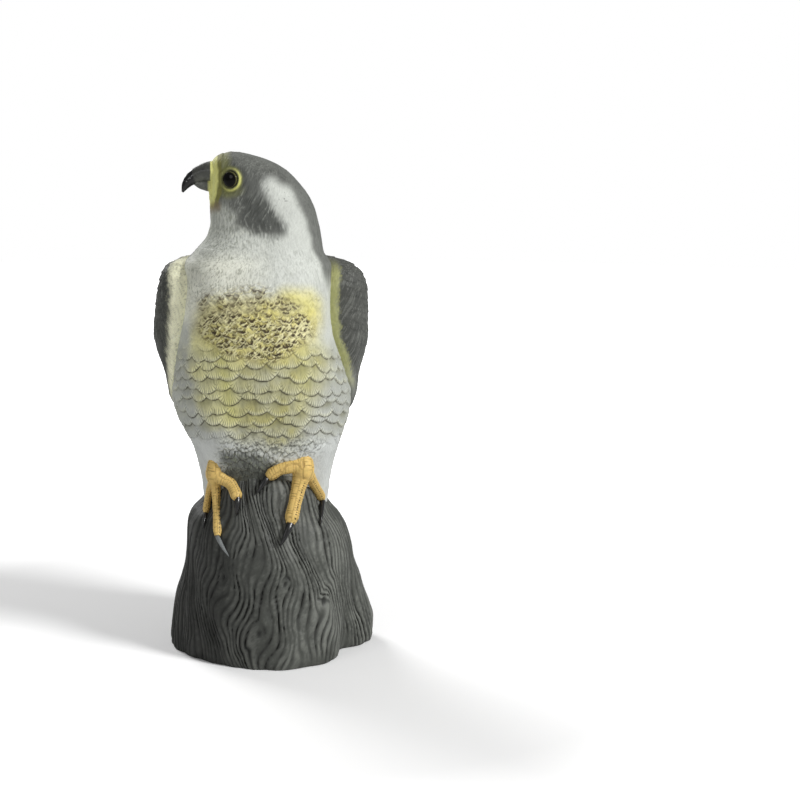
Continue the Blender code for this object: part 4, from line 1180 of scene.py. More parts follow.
        # Painted highlight on each scallop's rim
        rim_highlights = 0.5 * ease(0.45, 0.1, belly["above"]) * scales
        coat.add((236, 236, 206), rim_highlights * (0.6 + 0.4 * belly["shade"]))
        coat.add((104, 101, 72), 0.4 * ease(0.2, 0.7, -p.streak) * scales * cream)
        middle = ease(0.85, 0.40, np.abs(belly["side"]) + 0.3 * belly["shade"])
        # A dark line under each hanging tip: a painted line and the painted shadow of the tip at once
        coat.add(LINE, belly["under"] * middle * scales * ease(72, 56, np.abs(x)))

    def paint_breast(self, coat: Coat, p: Plumage) -> None:
        """The yellow bib, its dark bars and speckles, and fine strokes across them."""
        x, v, patch, chest = p.x, p.v, p.patch, p.chest
        yellow = stroke(x, v, "yellow bib", "yellow corner")
        coat.add(YELLOW, yellow * np.clip(0.80 + 0.4 * patch, 0.3, 1.0))
        coat.add((212, 205, 126), 0.8 * stroke(x + 2 * p.streak, v, "yellow rim"))
        coat.add(OCHRE, 0.30 * yellow * ease(0.1, 0.6, -patch) * ease(30, 10, x))
        dots = stroke(x, v, "dark speckles")
        thin = stroke(x, v, "thin speckles") * (1 - dots)
        own = chest["shade"]
        inner = ease(1.0, 0.55, np.abs(chest["side"] + 0.25 * own))
        bar = bell(chest["above"], 0.42 + 0.10 * own, 0.20 + 0.08 * own) * inner
        bar = ease(0.25, 0.60, bar - 0.25 * p.speck)
        much = dots * ease(-1.0, -0.5, own) + 0.8 * thin * ease(-0.5, 0.1, own)
        coat.add((120, 104, 58), 0.5 * ease(0.1, 0.5, bell(chest["above"], 0.5, 0.4) * inner) * much)
        coat.add(SPECKLE, 0.95 * bar * much)
        gaps = 0.7 * chest["under"] * ease(0.9, 0.5, np.abs(chest["side"]))
        coat.add(SPECKLE, gaps * np.maximum(dots, 0.5 * thin))
        rim = ease(0.26, 0.12, chest["above"]) * ease(1.1, 0.7, np.abs(chest["side"]))
        thick = np.maximum(dots * ease(280, 268, v + 4 * patch), 0.4 * thin)
        coat.add(SPECKLE, 0.85 * self.crossed(p, 1.0) * thick)
        strokes = np.maximum(rim * np.maximum(dots, 0.5 * thin), self.crossed(p, -1.0) * thick)
        coat.add((236, 230, 178), 0.85 * strokes)

    @staticmethod
    def paint_low(coat: Coat, p: Plumage) -> None:
        """Pale thighs, painted shade between the feet, and curls with painted shadows and highlights."""
        x, v, speck, chest = p.x, p.v, p.speck, p.chest
        low = ease(186, 170, v + 5 * p.patch)
        coat.add(PALE_GREY, 0.85 * low * ease(20, 34, np.abs(x - 4)) + 0.5 * low)
        coat.add((84, 86, 80), 0.8 * ease(0.1, 0.5, speck) * bell(v, 172, 9) * ease(46, 30, np.abs(x - 6)))
        # Painted shade in the hollow between the feet and over the stump, with darker streaks in it
        between = stroke(x, v + 4 * p.streak, "between the feet", "over the stump")
        coat.add((70, 73, 65), between * (0.80 + 0.15 * ease(160, 150, v)))
        coat.add((142, 148, 122), 0.6 * between * ease(0.1, 0.6, speck) * ease(150, 160, v))
        # Painted shadow under the curls' tips, then painted highlight on the tips
        coat.add((66, 67, 58), 0.8 * chest["under"] * p.curls)
        coat.add((216, 218, 200), 0.5 * ease(0.30, 0.1, chest["above"]) * p.curls * (1 - 0.75 * between))
        coat.add((46, 48, 43), 0.6 * between * ease(0.1, 0.6, -p.streak))

    @staticmethod
    def paint_back(coat: Coat, p: Plumage) -> None:
        """The nape's grey band, then charcoal behind it with painted highlights on the mantle's rims."""
        p.paint_nape(coat, ease(292, 312, p.v))
        coat.add((120, 122, 116), 0.5 * ease(0.0, 0.6, p.streak) * ease(-40, -52, p.x) * bell(p.v, 303, 6))
        coat.add(CHARCOAL, p.behind())
        # Painted highlight on the rims of the mantle's feathers, on the side facing back
        rim_highlights = 0.4 * ease(0.30, 0.05, p.behind_wings["above"]) * p.mantle
        coat.add(RIM_HIGHLIGHT, rim_highlights * ease(0.0, 0.3, p.normal[..., 1]))


@dataclass
class Hood:
    """Head and neck above the breast: painted face on one side, plain hood on the other."""

    finish: PaintedPlastic
    eyes: tuple[tuple[Vector, Vector], ...]
    columns: int = 452
    rows: int = 212

    def build(self) -> Object:
        """Makes the shell, its eye sockets, the ridge of the cere and its paint."""
        rows = SKIN.spread(NECK, SKIN.levels[-1, HEIGHT] - 0.02 * MM, self.rows)
        p = Ground.of(Form.skin(rows, math.pi / 2 + circle(self.columns)), 9 * MM, 1.6 * MM)
        z = p.points[..., 2] / MM
        swept = hair(p.points, 0.8 * MM, 5.5 * MM, -0.45)
        p.streak = p.streak + (swept - p.streak) * ease(340, 356, z)
        relief = p.down()
        near = [np.linalg.norm(p.points - np.array(place), axis=-1) / MM for place, _ in self.eyes]
        for gap in near:
            relief = relief + 0.9 * MM * bell(gap, 8.0, 1.3) - 0.7 * MM * bell(gap, 10.8, 1.8)
            relief = relief * ease(5.5, 7.0, gap)
        relief = relief + 0.6 * MM * (ease(-32.6, -33.6, p.x) * ease(361, 364, z))
        # Painted shade along the cere's edge and round the eye sockets
        furrow_shade = 0.5 * bell(p.x, -33.2, 0.8) * ease(362, 368, z) + 0.5 * ease(7.2, 6.3, np.minimum(*near))
        coat = Coat(p.points, CROWN)
        self.paint_crown(coat, p)
        self.paint_cheek(coat, p)
        p.paint_nape(coat)
        hood = Coat(p.points, CHARCOAL)
        hood.shade(1 + 0.18 * p.streak)
        face = 1 - p.behind()
        coat.paint = blend(hood.paint, coat.paint, face)
        self.paint_eyes(coat, p, near, face)
        self.paint_cere(coat, p)
        coat.shade(1 + 0.05 * p.streak)
        sheet = Sheet(p.points + p.normal * relief[..., None], coat.paint, furrow_shade=np.clip(furrow_shade, 0.0, 1.0))
        return sheet.place("hood", self.finish, "head_shell")

    @staticmethod
    def paint_crown(coat: Coat, p: Ground) -> None:
        """The streaked grey crown and the pale throat under it."""
        x, v, streak, ragged = p.x, p.v, p.streak, p.ragged()
        xs, vs = x + ragged, v + 1.6 * ragged
        coat.add(CROWN_LIT, 0.3 * ease(384, 396, v) * ease(-34, -10, x))
        coat.add(CROWN_LIT, 0.45 * ease(0.1, 0.6, streak))
        coat.add((74, 76, 72), 0.55 * ease(0.15, 0.6, -streak))
        under = np.maximum(ease(346, 336, vs + 1.2 * ragged + 0.26 * (x + 20)), ease(342, 333, v))
        under = np.maximum(under, ease(370, 354, vs) * ease(-14, -29, xs))
        coat.paint = blend(coat.paint, p.bib().paint, under)
        coat.add((92, 94, 90), 0.75 * stroke(xs, vs, "brow"))

    @staticmethod
    def paint_cheek(coat: Coat, p: Ground) -> None:
        """The dark cheek and the white stripe behind it."""
        x, v, streak, fleck, ragged = p.x, p.v, p.streak, p.speck, p.ragged()
        xs, vs = x + ragged, v + 1.6 * ragged
        cheek = stroke(xs + 1.2 * ragged, vs + 1.6 * ragged, "cheek", "jaw")
        coat.add(CHEEK, cheek * (0.62 + 0.38 * ease(-18, 0, x + 4 * p.patch)))
        coat.add((150, 153, 146), 0.65 * ease(0.15, 0.6, streak) * cheek * ease(0.0, 0.5, fleck + 0.5))
        coat.add((52, 54, 50), 0.5 * ease(0.1, 0.6, -streak) * cheek)
        white = stroke(x + 0.9 * ragged, v + 0.5 * ragged, "white stripe")
        coat.add(STRIPE, white)
        coat.add((96, 98, 94), 0.5 * white * ease(0.3, 0.8, -streak) * bell(x, 2, 5) * ease(360, 372, v))
        coat.add((80, 82, 78), 0.7 * white * ease(0.80, 1.0, fleck) * ease(352, 362, v))

    @staticmethod
    def paint_eyes(coat: Coat, p: Ground, near: list[Array], face: Array) -> None:
        """The rings round the eyes, and painted shade at the edge of their sockets.

        Args:
            coat: the coat that they go on.
            p: the hood's surface.
            near: distance from each eye, in millimetres.
            face: share of the painted side.
        """
        x, v, z = p.x, p.v, p.points[..., 2] / MM
        left, right = near
        coat.add((140, 142, 84), 0.50 * ease(17, 10.5, left + 0.8 * p.patch) * ease(378, 368, v) * face)
        low_right = ease(-0.7, 0.7, ((x + 26.3) * 0.8 - (v - 381.5) * 0.6) / 9.2)
        coat.add((96, 98, 62), 0.8 * ease(12.0, 9.6, left))
        coat.add(EYE_RING, bell(left, 8.5, 0.95) * (0.22 + 0.78 * low_right))
        coat.add((70, 71, 44), 0.8 * ease(7.7, 6.9, left))
        far_patch = ease(15, 10, right + 0.35 * np.abs(z - 378)) * (1 - face)
        coat.add((206, 214, 120), 0.9 * far_patch)
        coat.add((226, 226, 206), 0.8 * ease(11, 8, right) * ease(377, 372, z) * (1 - face))
        # Painted shade where the eyes sit in their sockets
        coat.add((50, 52, 42), ease(7.3, 6.4, np.minimum(left, right)))

    @staticmethod
    def paint_cere(coat: Coat, p: Ground) -> None:
        """The yellow cere at the beak's root, with its olive edge and the brown below it."""
        x, v = p.x, p.v
        narrow = 3.2 * ease(372, 362, v)
        olive = ease(-33.2, -34.6, x + narrow) * ease(358, 366, v)
        coat.add(CERE_SHADE, 0.85 * olive)
        coat.add(CERE, olive * ease(-36.4, -38.0, x + narrow + 0.6 * p.patch))
        coat.add((150, 152, 84), 0.45 * ease(-25, -32, x + p.patch) * ease(364, 374, v) * (1 - olive))
        coat.add((214, 218, 150), 0.5 * olive * bell(x + narrow, -40.0, 1.0))
        coat.add((128, 108, 74), 0.6 * ease(368, 361, v) * ease(-33, -37, x) * ease(354, 360, v))


def eye_seat(side: int) -> tuple[Vector, Vector]:
    """Place and outward direction of an eye on the turned head.

    Args:
        side: -1 for the painted side, 1 for the far side.

    Returns:
        The middle of the eye's opening and the direction it looks in.
    """
    row = SKIN.rows(np.array([EYE_LEVEL]))
    a, b = (float(v[0, 0]) for v in Form.axes(row, np.array([[-1.0]]), np.array([[float(side)]])))
    edge = []
    for x in (-19.5 * MM, -20.5 * MM):
        share = abs(x) / a
        y = b * (1 - share ** row[0, POWER]) ** (1 / row[0, POWER])
        edge.append(Vector((x, side * y * (1 - row[0, TAPER] * share**2), 0.0)))
    tangent = (edge[1] - edge[0]).normalized()
    normal = Vector((tangent.y, -tangent.x, 0.0))
    if normal.y * side < 0:
        normal.negate()
    turn = Matrix.Rotation(HEAD_TURN, 4, "Z")
    place = turn @ edge[0] + Vector((row[0, MIDDLE], 0.0, row[0, HEIGHT]))
    place.y -= LEAN * (place.z - SEAT) / BIRD
    return place, turn @ normal


@dataclass
class Eye:
    """A black domed eye on its shank, seated in the hood."""

    node: str
    place: Vector
    look: Vector
    finish: GlossPlastic
    radius: float = 6.2 * MM
    rise: float = 2.6 * MM
    sunk: float = 0.4 * MM
    shank: float = 5 * MM
    columns: int = 96

    def build(self) -> Object:
        """Turns the profile about the eye's axis: an upright shank under a rounded dome."""
        steps = np.linspace(0.0, math.pi / 2, 34)[:-1]
        rim = -self.sunk
        radius = np.concatenate([[self.radius] * 3, self.radius * np.cos(steps)])
        out = np.concatenate([np.linspace(-self.shank, rim, 4)[:3], rim + (self.rise - rim) * np.sin(steps)])
        t = circle(self.columns)
        local = [np.outer(radius, np.cos(t)), np.outer(radius, np.sin(t)), np.repeat(out[:, None], len(t), 1)]
        turn = np.array(self.look.to_track_quat("Z", "Y").to_matrix())
        points = np.stack(local, axis=-1) @ turn.T + np.array(self.place)
        iris = ease(0.97, 0.86, radius / self.radius)[:, None, None]
        paint = shown(14, 13, 12) * iris + shown(84, 82, 52) * (1 - iris)
        sheet = Sheet(points, np.broadcast_to(paint, (*points.shape[:2], 3)))
        return sheet.place(self.node, self.finish, self.node)


def frames(points: Array) -> tuple[Array, Array, Array]:
    """Directions along a path, with a side and an up that don't twist."""
    ahead = np.gradient(points, axis=0)
    ahead /= np.linalg.norm(ahead, axis=1)[:, None]
    side = np.cross(ahead[0], (0.0, 0.0, 1.0))
    if np.linalg.norm(side) < 0.2:
        side = np.cross(ahead[0], (0.0, 1.0, 0.0))
    sides = np.zeros_like(points)
    for k, direction in enumerate(ahead):
        side = side - direction * float(side @ direction)
        side = side / np.linalg.norm(side)
        sides[k] = side
    return ahead, sides, np.cross(sides, ahead)


def smooth_path(points: Array, count: int) -> Array:
    """The smooth curve through the points, at even steps."""
    points = np.asarray(points, float)
    run = running(np.linalg.norm(np.diff(points, axis=0), axis=1))
    return curve(run, points, np.linspace(0.0, run[-1], count))


def swell(values: tuple[float, ...], count: int) -> Array:
    """A short list of girths, smoothed to more places."""
    return curve(np.linspace(0.0, 1.0, len(values)), values, np.linspace(0.0, 1.0, count))[:, 0]


def tube(path: Array, wide: Array, high: Array, columns: int, keel: float = 0.0) -> Array:
    """Grid of an oval section swept along a path.

    Args:
        path: points of the path.
        wide, high: half sizes at each point.
        columns: points round the section.
        keel: how far the upper half narrows into a ridge.

    Returns:
        Points, with the columns going round so that the faces look outwards.
    """
    _, sides, ups = frames(path)
    t = -circle(columns)
    c = np.cos(t) * (1 - keel * np.maximum(np.sin(t), 0.0) ** 2)
    ring = wide[:, None, None] * c[None, :, None] * sides[:, None, :]
    return path[:, None, :] + ring + high[:, None, None] * np.sin(t)[None, :, None] * ups[:, None, :]


@dataclass
class Beak:
    """One half of the beak, swept along the turned head's middle plane from inside the head to its tip."""

    node: str
    finish: GlossPlastic
    level: float
    reach: float
    drop: float
    tall: float
    broad: float
    shape: tuple[tuple[float, float, float, float], ...]
    upper: bool = True
    rows: int = 150
    columns: int = 100

    def build(self) -> Object:
        """Makes the beak, its growth lines and its paint from the yellow root to the black tip."""
        face = -SKIN.rows(np.array([BEAK_ROOT]))[0, LEFT] + 2 * MM
        middle = SKIN.rows(np.array([EYE_LEVEL]))[0, MIDDLE]
        forward, down, high, wide = np.array(self.shape).T
        x = face + forward * self.reach
        raw = np.stack([x, (x - middle) * math.tan(HEAD_TURN), SEAT + self.level - down * self.drop], axis=-1)
        path = leant(smooth_path(raw, self.rows))
        share = np.linspace(0.0, 1.0, self.rows)
        knots = np.linspace(0.0, 1.0, len(raw))
        half_wide = curve(knots, wide * self.broad / 2, share)[:, 0]
        half_high = curve(knots, high * self.tall / 2, share)[:, 0]
        points = tube(path, half_wide, half_high, self.columns, 0.25 if self.upper else 0.0)
        run = arc_length(path[None])[0][:, None]
        t = circle(self.columns)[None]
        lines = FINE.at(run / (1.1 * MM), np.cos(t) * 2.2, np.sin(t) * 2.2)
        body = ease(0.18, 0.3, share)[:, None] * ease(0.9, 0.7, share)[:, None]
        points = points - outward(points) * (0.14 * MM * (lines + 1) * body)[..., None]
        x_mm, z_mm = points[..., 0] / MM, points[..., 2] / MM
        coat = Coat(points, HORN if self.upper else LOWER_HORN)
        coat.shade(1 + 0.24 * lines)
        gloss = np.ones(points.shape[:2])
        if self.upper:
            coat.add((126, 128, 120), 0.55 * ease(384, 376, z_mm) * ease(-57, -50, x_mm))
            far = ease(-0.2, 0.5, np.broadcast_to(outward(points)[..., 1], x_mm.shape))
            root = ease(-43.6, -42.6, x_mm + 0.3 * lines)
            coat.add(CERE, np.clip(root + far * ease(-53.0, -50.5, x_mm + 0.6 * lines), 0.0, 1.0))
            coat.add((60, 60, 40), 0.6 * bell(z_mm, 378.5, 0.45) * far * ease(-56, -52, x_mm))
            nostril = np.hypot((x_mm + 48.6) / 1.3, (z_mm - 386.5) / 0.8)
            coat.add(BLACK, 0.6 * ease(1.25, 0.7, nostril) * (outward(points)[..., 1] < 0))
            tip = ease(-55.2, -57.2, x_mm + 0.25 * (z_mm - 380) + 0.4 * lines)
            coat.add((9, 9, 9), tip)
            gloss = 1 - 0.95 * tip
        else:
            coat.add(CERE, 0.9 * ease(-46.0, -44.0, x_mm))
        sheet = Sheet(points, coat.paint, rub_and_highlight=gloss)
        return sheet.place(self.node, self.finish, self.node)


def back_reach(heights: Array, angles: Array) -> Array:
    """Distance from the axis to the outermost of body, stump and tail, at one height for each row."""
    out = np.zeros(np.broadcast_shapes((len(heights), 1), angles.shape))
    for form in (SKIN, STUMP):
        inside = (heights >= form.levels[0, HEIGHT]) & (heights <= form.levels[-1, HEIGHT])
        out = np.where(inside[:, None], np.maximum(out, Form.reach(form.rows(heights), angles)), out)
    roof = tail_reach(heights[:, None], angles)
    behind = (heights[:, None] <= TAIL[-1, 0]) & (np.sin(angles) > 0.3)
    return np.where(behind, np.maximum(out, roof), out)


@dataclass
class Wing:
    """A folded wing from the crease along the breast to the split down the back."""

    side: Side
    bulge: float
    finish: PaintedPlastic
    rows: int = 430
    face: int = 196
    inner: int = 14
    nose: float = 0.28
    eased: float = 0.8
    scale: tuple[float, float] = (12.5 * MM, 8.4 * MM)
    flight: float = 6.6 * MM
    mantle_foot: float = 53.0
    covert_depth: float = 1.25 * MM
    tip_depth: float = 1.2 * MM

    def grid(self) -> tuple[Array, Array, Array]:
        """The wing's closed sections.

        Returns:
            Points, the share of the arc from the leading edge at each column, and the share of each row
            that belongs to the mantle's edge.
        """
        table = np.array(WING_LEVELS)[::-1]
        run = running(np.abs(np.diff(table[:, 0])) + 0.08 * np.abs(np.diff(table[:, 1])))
        rows = curve(run, table, np.linspace(0.0, run[-1], self.rows))
        height, thickness, lead = (rows[:, [i]] for i in range(3))
        z = SEAT + height / 100 * BIRD
        nose_points = np.linspace(0.0, 1.0, 60, endpoint=False) ** 1.5 * self.nose
        outer = np.concatenate([nose_points, np.linspace(self.nose, 1.0, self.face - 60)])
        s = np.concatenate([outer, np.linspace(1.0, 0.0, self.inner)])[None]
        mantle = np.clip((height - self.mantle_foot) / (WING_LEVELS[0][0] - self.mantle_foot), 0.0, 1.0)
        end = 70.0 * mantle**0.8
        angles = math.pi / 2 - self.side.value * np.radians(lead * (1 - s) + end * s)
        base = back_reach(z[:, 0], angles)
        nose = np.sqrt(np.clip(1 - (1 - np.clip(s / self.nose, 0.0, 1.0)) ** 2, 0.0, 1.0))
        at_side = thickness / 100 * self.bulge
        at_back = np.minimum(at_side, 6.0 * MM * (1 - 0.55 * np.minimum(1.0, 4 * mantle)))
        inward = (1 - s) * np.radians(lead - end) * 60 * MM
        at_back = at_back * (1 - 0.8 * ease(0.0, 0.1, mantle) * ease(8 * MM, 0.0, inward))
        fade = ease(self.nose, self.eased, s)
        rise = at_side * nose * (1 - fade) + at_back * fade
        r = np.where(np.arange(s.shape[1])[None] < self.face, base + rise, base - 2.5 * MM)
        x = self.side.value * np.maximum(self.side.value * r * np.cos(angles), 0.1 * MM)
        return joined(x, r * np.sin(angles), z), np.broadcast_to(s, x.shape), np.broadcast_to(mantle, x.shape)

    def build(self) -> Object:
        """Lays scale feathers over the shoulder and long flight feathers below it, then paints them."""
        points, s, mantle = self.grid()
        way = self.side.value
        normal = outward(points[:, ::way])[:, ::way]
        round_it = arc_length(points)
        end = round_it[:, [self.face - 1]]
        from_nose = np.minimum(round_it, end)
        from_back = end - from_nose
        z = points[..., 2]
        outer = (np.arange(points.shape[1]) < self.face)[None] & np.ones_like(s, bool)
        skin = outer * ease(0.0, 0.05, s) * ease(0.5 * MM, 2.5 * MM, from_back + 3 * MM * mantle)
        seed = 31 + self.side.value
        covert = Shingles(seed, bow=0.6, jitter=0.2).at(
            (from_back + 0.25 * (0.30 - z)) / self.scale[0], (z - 0.18 * from_back) / self.scale[1]
        )
        tips = Shingles(seed + 5, bow=1.1, jitter=0.12, half=0.62, fall=1.5, lip=0.06).at(
            (from_back - 0.30 * (z - 0.06)) / (12 * MM), (z - 0.9 * from_back) / (24 * MM)
        )
        lane = from_nose / self.flight + 0.25 * GRAIN.at(z / (40 * MM), from_nose / (30 * MM))
        part = lane - np.floor(lane)
        blade = (1 - part) * ease(0.0, 0.10, part)
        groove = ease(0.14, 0.0, part) + ease(0.94, 1.0, part)
        shaft = bell(part, 0.5, 0.05)
        wander = 5 * MM * GRAIN.at(from_back / (18 * MM), z / (18 * MM), 3.3)
        scales = ease(0.222, 0.278, z + wander + 0.12 * from_back)
        front = ease(0.30, 0.20, s) * ease(0.20, 0.24, z)
        scales = scales * (1 - 0.6 * front)
        quills = ease(0.232, 0.19, z + wander) * ease(0.66, 0.48, s + 0.1 * GRAIN.at(z / (30 * MM), 0.0, 1.0))
        inner_tips = (1 - scales) * (1 - quills) * ease(36 * MM, 24 * MM, from_back) * ease(0.085, 0.10, z)
        streak = hair(points, 0.8 * MM, 8 * MM, -0.12 * self.side.value)
        lumps = mottle(points, 6 * MM, 3)
        relief = self.covert_depth * (covert["rise"] - 0.45) * scales
        relief = relief + self.tip_depth * (tips["rise"] - 0.4) * inner_tips
        relief = relief + (0.95 * (blade - 0.5) + 0.2 * shaft) * MM * quills
        relief = relief + 0.25 * MM * streak + 0.18 * MM * lumps
        valley = 1.2 * bell(from_back, 0.0, 5 * MM) + 1.2 * bell(from_back, 0.0, 13 * MM)
        valley = valley * MM * (1 - mantle) * outer
        radial = points * [1, 1, 0] / np.linalg.norm(points[..., :2], axis=-1, keepdims=True)
        # Painted shade under the feather tips and in the quills' grooves
        furrow_shade = 0.9 * covert["under"] * scales + 0.7 * tips["under"] * inner_tips + 0.6 * groove * quills
        coat = self.coat(points, from_nose, streak, lumps, quills)
        # Painted highlight on the feather tips' rims, on the side facing back
        rim_highlights = ease(0.30, 0.05, covert["above"]) * scales + 0.7 * ease(0.12, 0.02, tips["above"]) * inner_tips
        coat.add(RIM_HIGHLIGHT, 0.4 * rim_highlights * skin * ease(-0.2, 0.3, normal[..., 1]))
        sheet = Sheet(
            points=points + normal * (relief * skin)[..., None] - radial * valley[..., None],
            paint=coat.paint,
            furrow_shade=np.clip(furrow_shade * skin, 0.0, 1.0),
            # Painted highlight on the feather tips and the quills' shafts
            rub_and_highlight=np.clip(0.5 * covert["tip"] * scales + 0.4 * tips["tip"] * inner_tips + shaft * quills, 0, 1),
            fan=covert["fan"],
            tip=np.clip(covert["tip"] * scales, 0.0, 1.0),
        )
        name = f"{self.side.name.lower()}_wing"
        sheet = sheet.turned() if self.side is Side.RIGHT else sheet
        return sheet.place(f"{name}_feathers", self.finish, name)

    def coat(self, points: Array, nose: Array, streak: Array, lumps: Array, quills: Array) -> Coat:
        """Paints the wing: charcoal, with a pale or olive leading edge towards the breast.

        Args:
            points: the surface.
            nose: distance from the leading edge.
            streak, lumps: fine and coarse noise.
            quills: where the flight feathers lie.

        Returns:
            The finished coat.
        """
        z = points[..., 2] / MM
        y = points[..., 1]
        coat = Coat(points, CHARCOAL)
        coat.add(CHARCOAL_LIT, 0.35 * ease(-0.2, 0.8, lumps) + 0.15 * quills + 0.25 * ease(0.1, 0.7, streak))
        slim = hair(points, 0.7 * MM, 11 * MM, -0.4 * self.side.value)
        front = ease(14 * MM, -14 * MM, y)
        edge = nose / MM + 1.6 * streak + 1.2 * lumps
        if self.side is Side.RIGHT:
            wide = np.interp(z, (180, 215, 250, 285, 305, 318), (2, 5, 9, 13, 14, 8))
            # Painted shade over the front of the right wing, the side away from the key light
            coat.add((58, 60, 55), 0.7 * front)
            coat.add((120, 122, 114), 0.6 * front * ease(0.1, 0.5, slim) * ease(220, 290, z))
            ragged = edge + 3.0 * slim
            coat.add(WING_CREAM, front * ease(wide + 4, wide - 3, ragged) * ease(176, 196, z))
            coat.add((132, 134, 118), 0.45 * front * ease(0.1, 0.6, -slim) * ease(wide + 2, wide - 5, ragged))
        else:
            coat.add(WING_GREY, 0.85 * front)
            coat.add((128, 130, 124), 0.5 * front * ease(0.05, 0.5, slim))
            coat.add(NAPE_SHADE, 0.6 * front * ease(0.1, 0.5, -slim))
            olive = 0.8 * front * ease(8.5, 4.0, edge + 2 * slim) * ease(206, 226, z)
            coat.add(WING_OLIVE, olive * ease(318, 304, z))
            rim = 0.35 * front * bell(edge, 5.5, 1.6) * ease(226, 250, z)
            coat.add((196, 198, 150), rim * ease(312, 298, z))
            coat.add((170, 172, 166), 0.4 * front * ease(14, 6, edge) * ease(240, 214, z))
        coat.shade(1 + 0.15 * streak)
        return coat


@dataclass
class Tail:
    """The ridged tail under the wings' tips, down to the ground."""

    finish: PaintedPlastic
    rows: int = 330
    face: int = 190
    flank: int = 36
    feather: float = 9.5 * MM
    softened: float = 1.1

    def build(self) -> Object:
        """Bends long feathers over the two slopes: shallow grooves that run down and meet on the ridge."""
        z = np.linspace(0.0, TAIL[-1, 0], self.rows)[:, None]
        wide = np.interp(z, TAIL[:, 0], TAIL[:, 1])
        eaves = np.interp(z, TAIL[:, 0], TAIL[:, 3])
        root, corner = np.arctan2(12 * MM, wide), np.arctan2(eaves, wide)
        u = np.linspace(-1.0, 1.0, self.face)[None]
        slope = math.pi / 2 + u * (math.pi / 2 - corner)
        flank = root + (corner - root) * np.linspace(0.0, 1.0, self.flank, endpoint=False)[None]
        angles = np.concatenate([flank, slope, math.pi - flank[:, ::-1]], axis=1)
        r = tail_reach(z, angles)
        points = joined(r * np.cos(angles), r * np.sin(angles), z)
        points = np.concatenate([points, points[:, -1:] * [0.5, 1, 1] + points[:, :1] * [0.5, 0, 0]], axis=1)
        normal = outward(points)
        x = points[..., 0]
        ridge = bell(x, 0.0, 5 * MM)
        fall = np.abs(x) / self.feather + 0.20 * points[..., 2] / (30 * MM)
        fall = fall + 0.12 * GRAIN.at(z / (50 * MM), x / (20 * MM))
        part = fall - np.floor(fall)
        blade = part * ease(1.0, 0.9, part)
        streak = hair(points, 0.9 * MM, 22 * MM)
        lumps = mottle(points, 9 * MM, 3)
        seat = ease(0.0, 1.5 * MM, z)
        relief = (0.55 * (blade - 0.5) * MM + 0.16 * MM * streak + 0.3 * MM * lumps) * seat
        relief = relief - ridge * self.softened * MM
        coat = Coat(points, CHARCOAL)
        # Painted highlight along the ridge
        coat.add(CHARCOAL_LIT, 0.4 * ease(-0.4, 0.8, lumps) + 0.35 * bell(x, 0.0, 6 * MM))
        coat.shade(1 + 0.13 * streak)
        # Painted shade in the grooves between the feathers, painted highlight on the ridge
        furrow_shade = 0.3 * (ease(0.9, 1.0, part) + ease(0.08, 0.0, part))
        sheet = Sheet(points + normal * relief[..., None], coat.paint, furrow_shade=furrow_shade, rub_and_highlight=0.4 * ridge)
        return sheet.place("tail_feathers", self.finish, "tail")


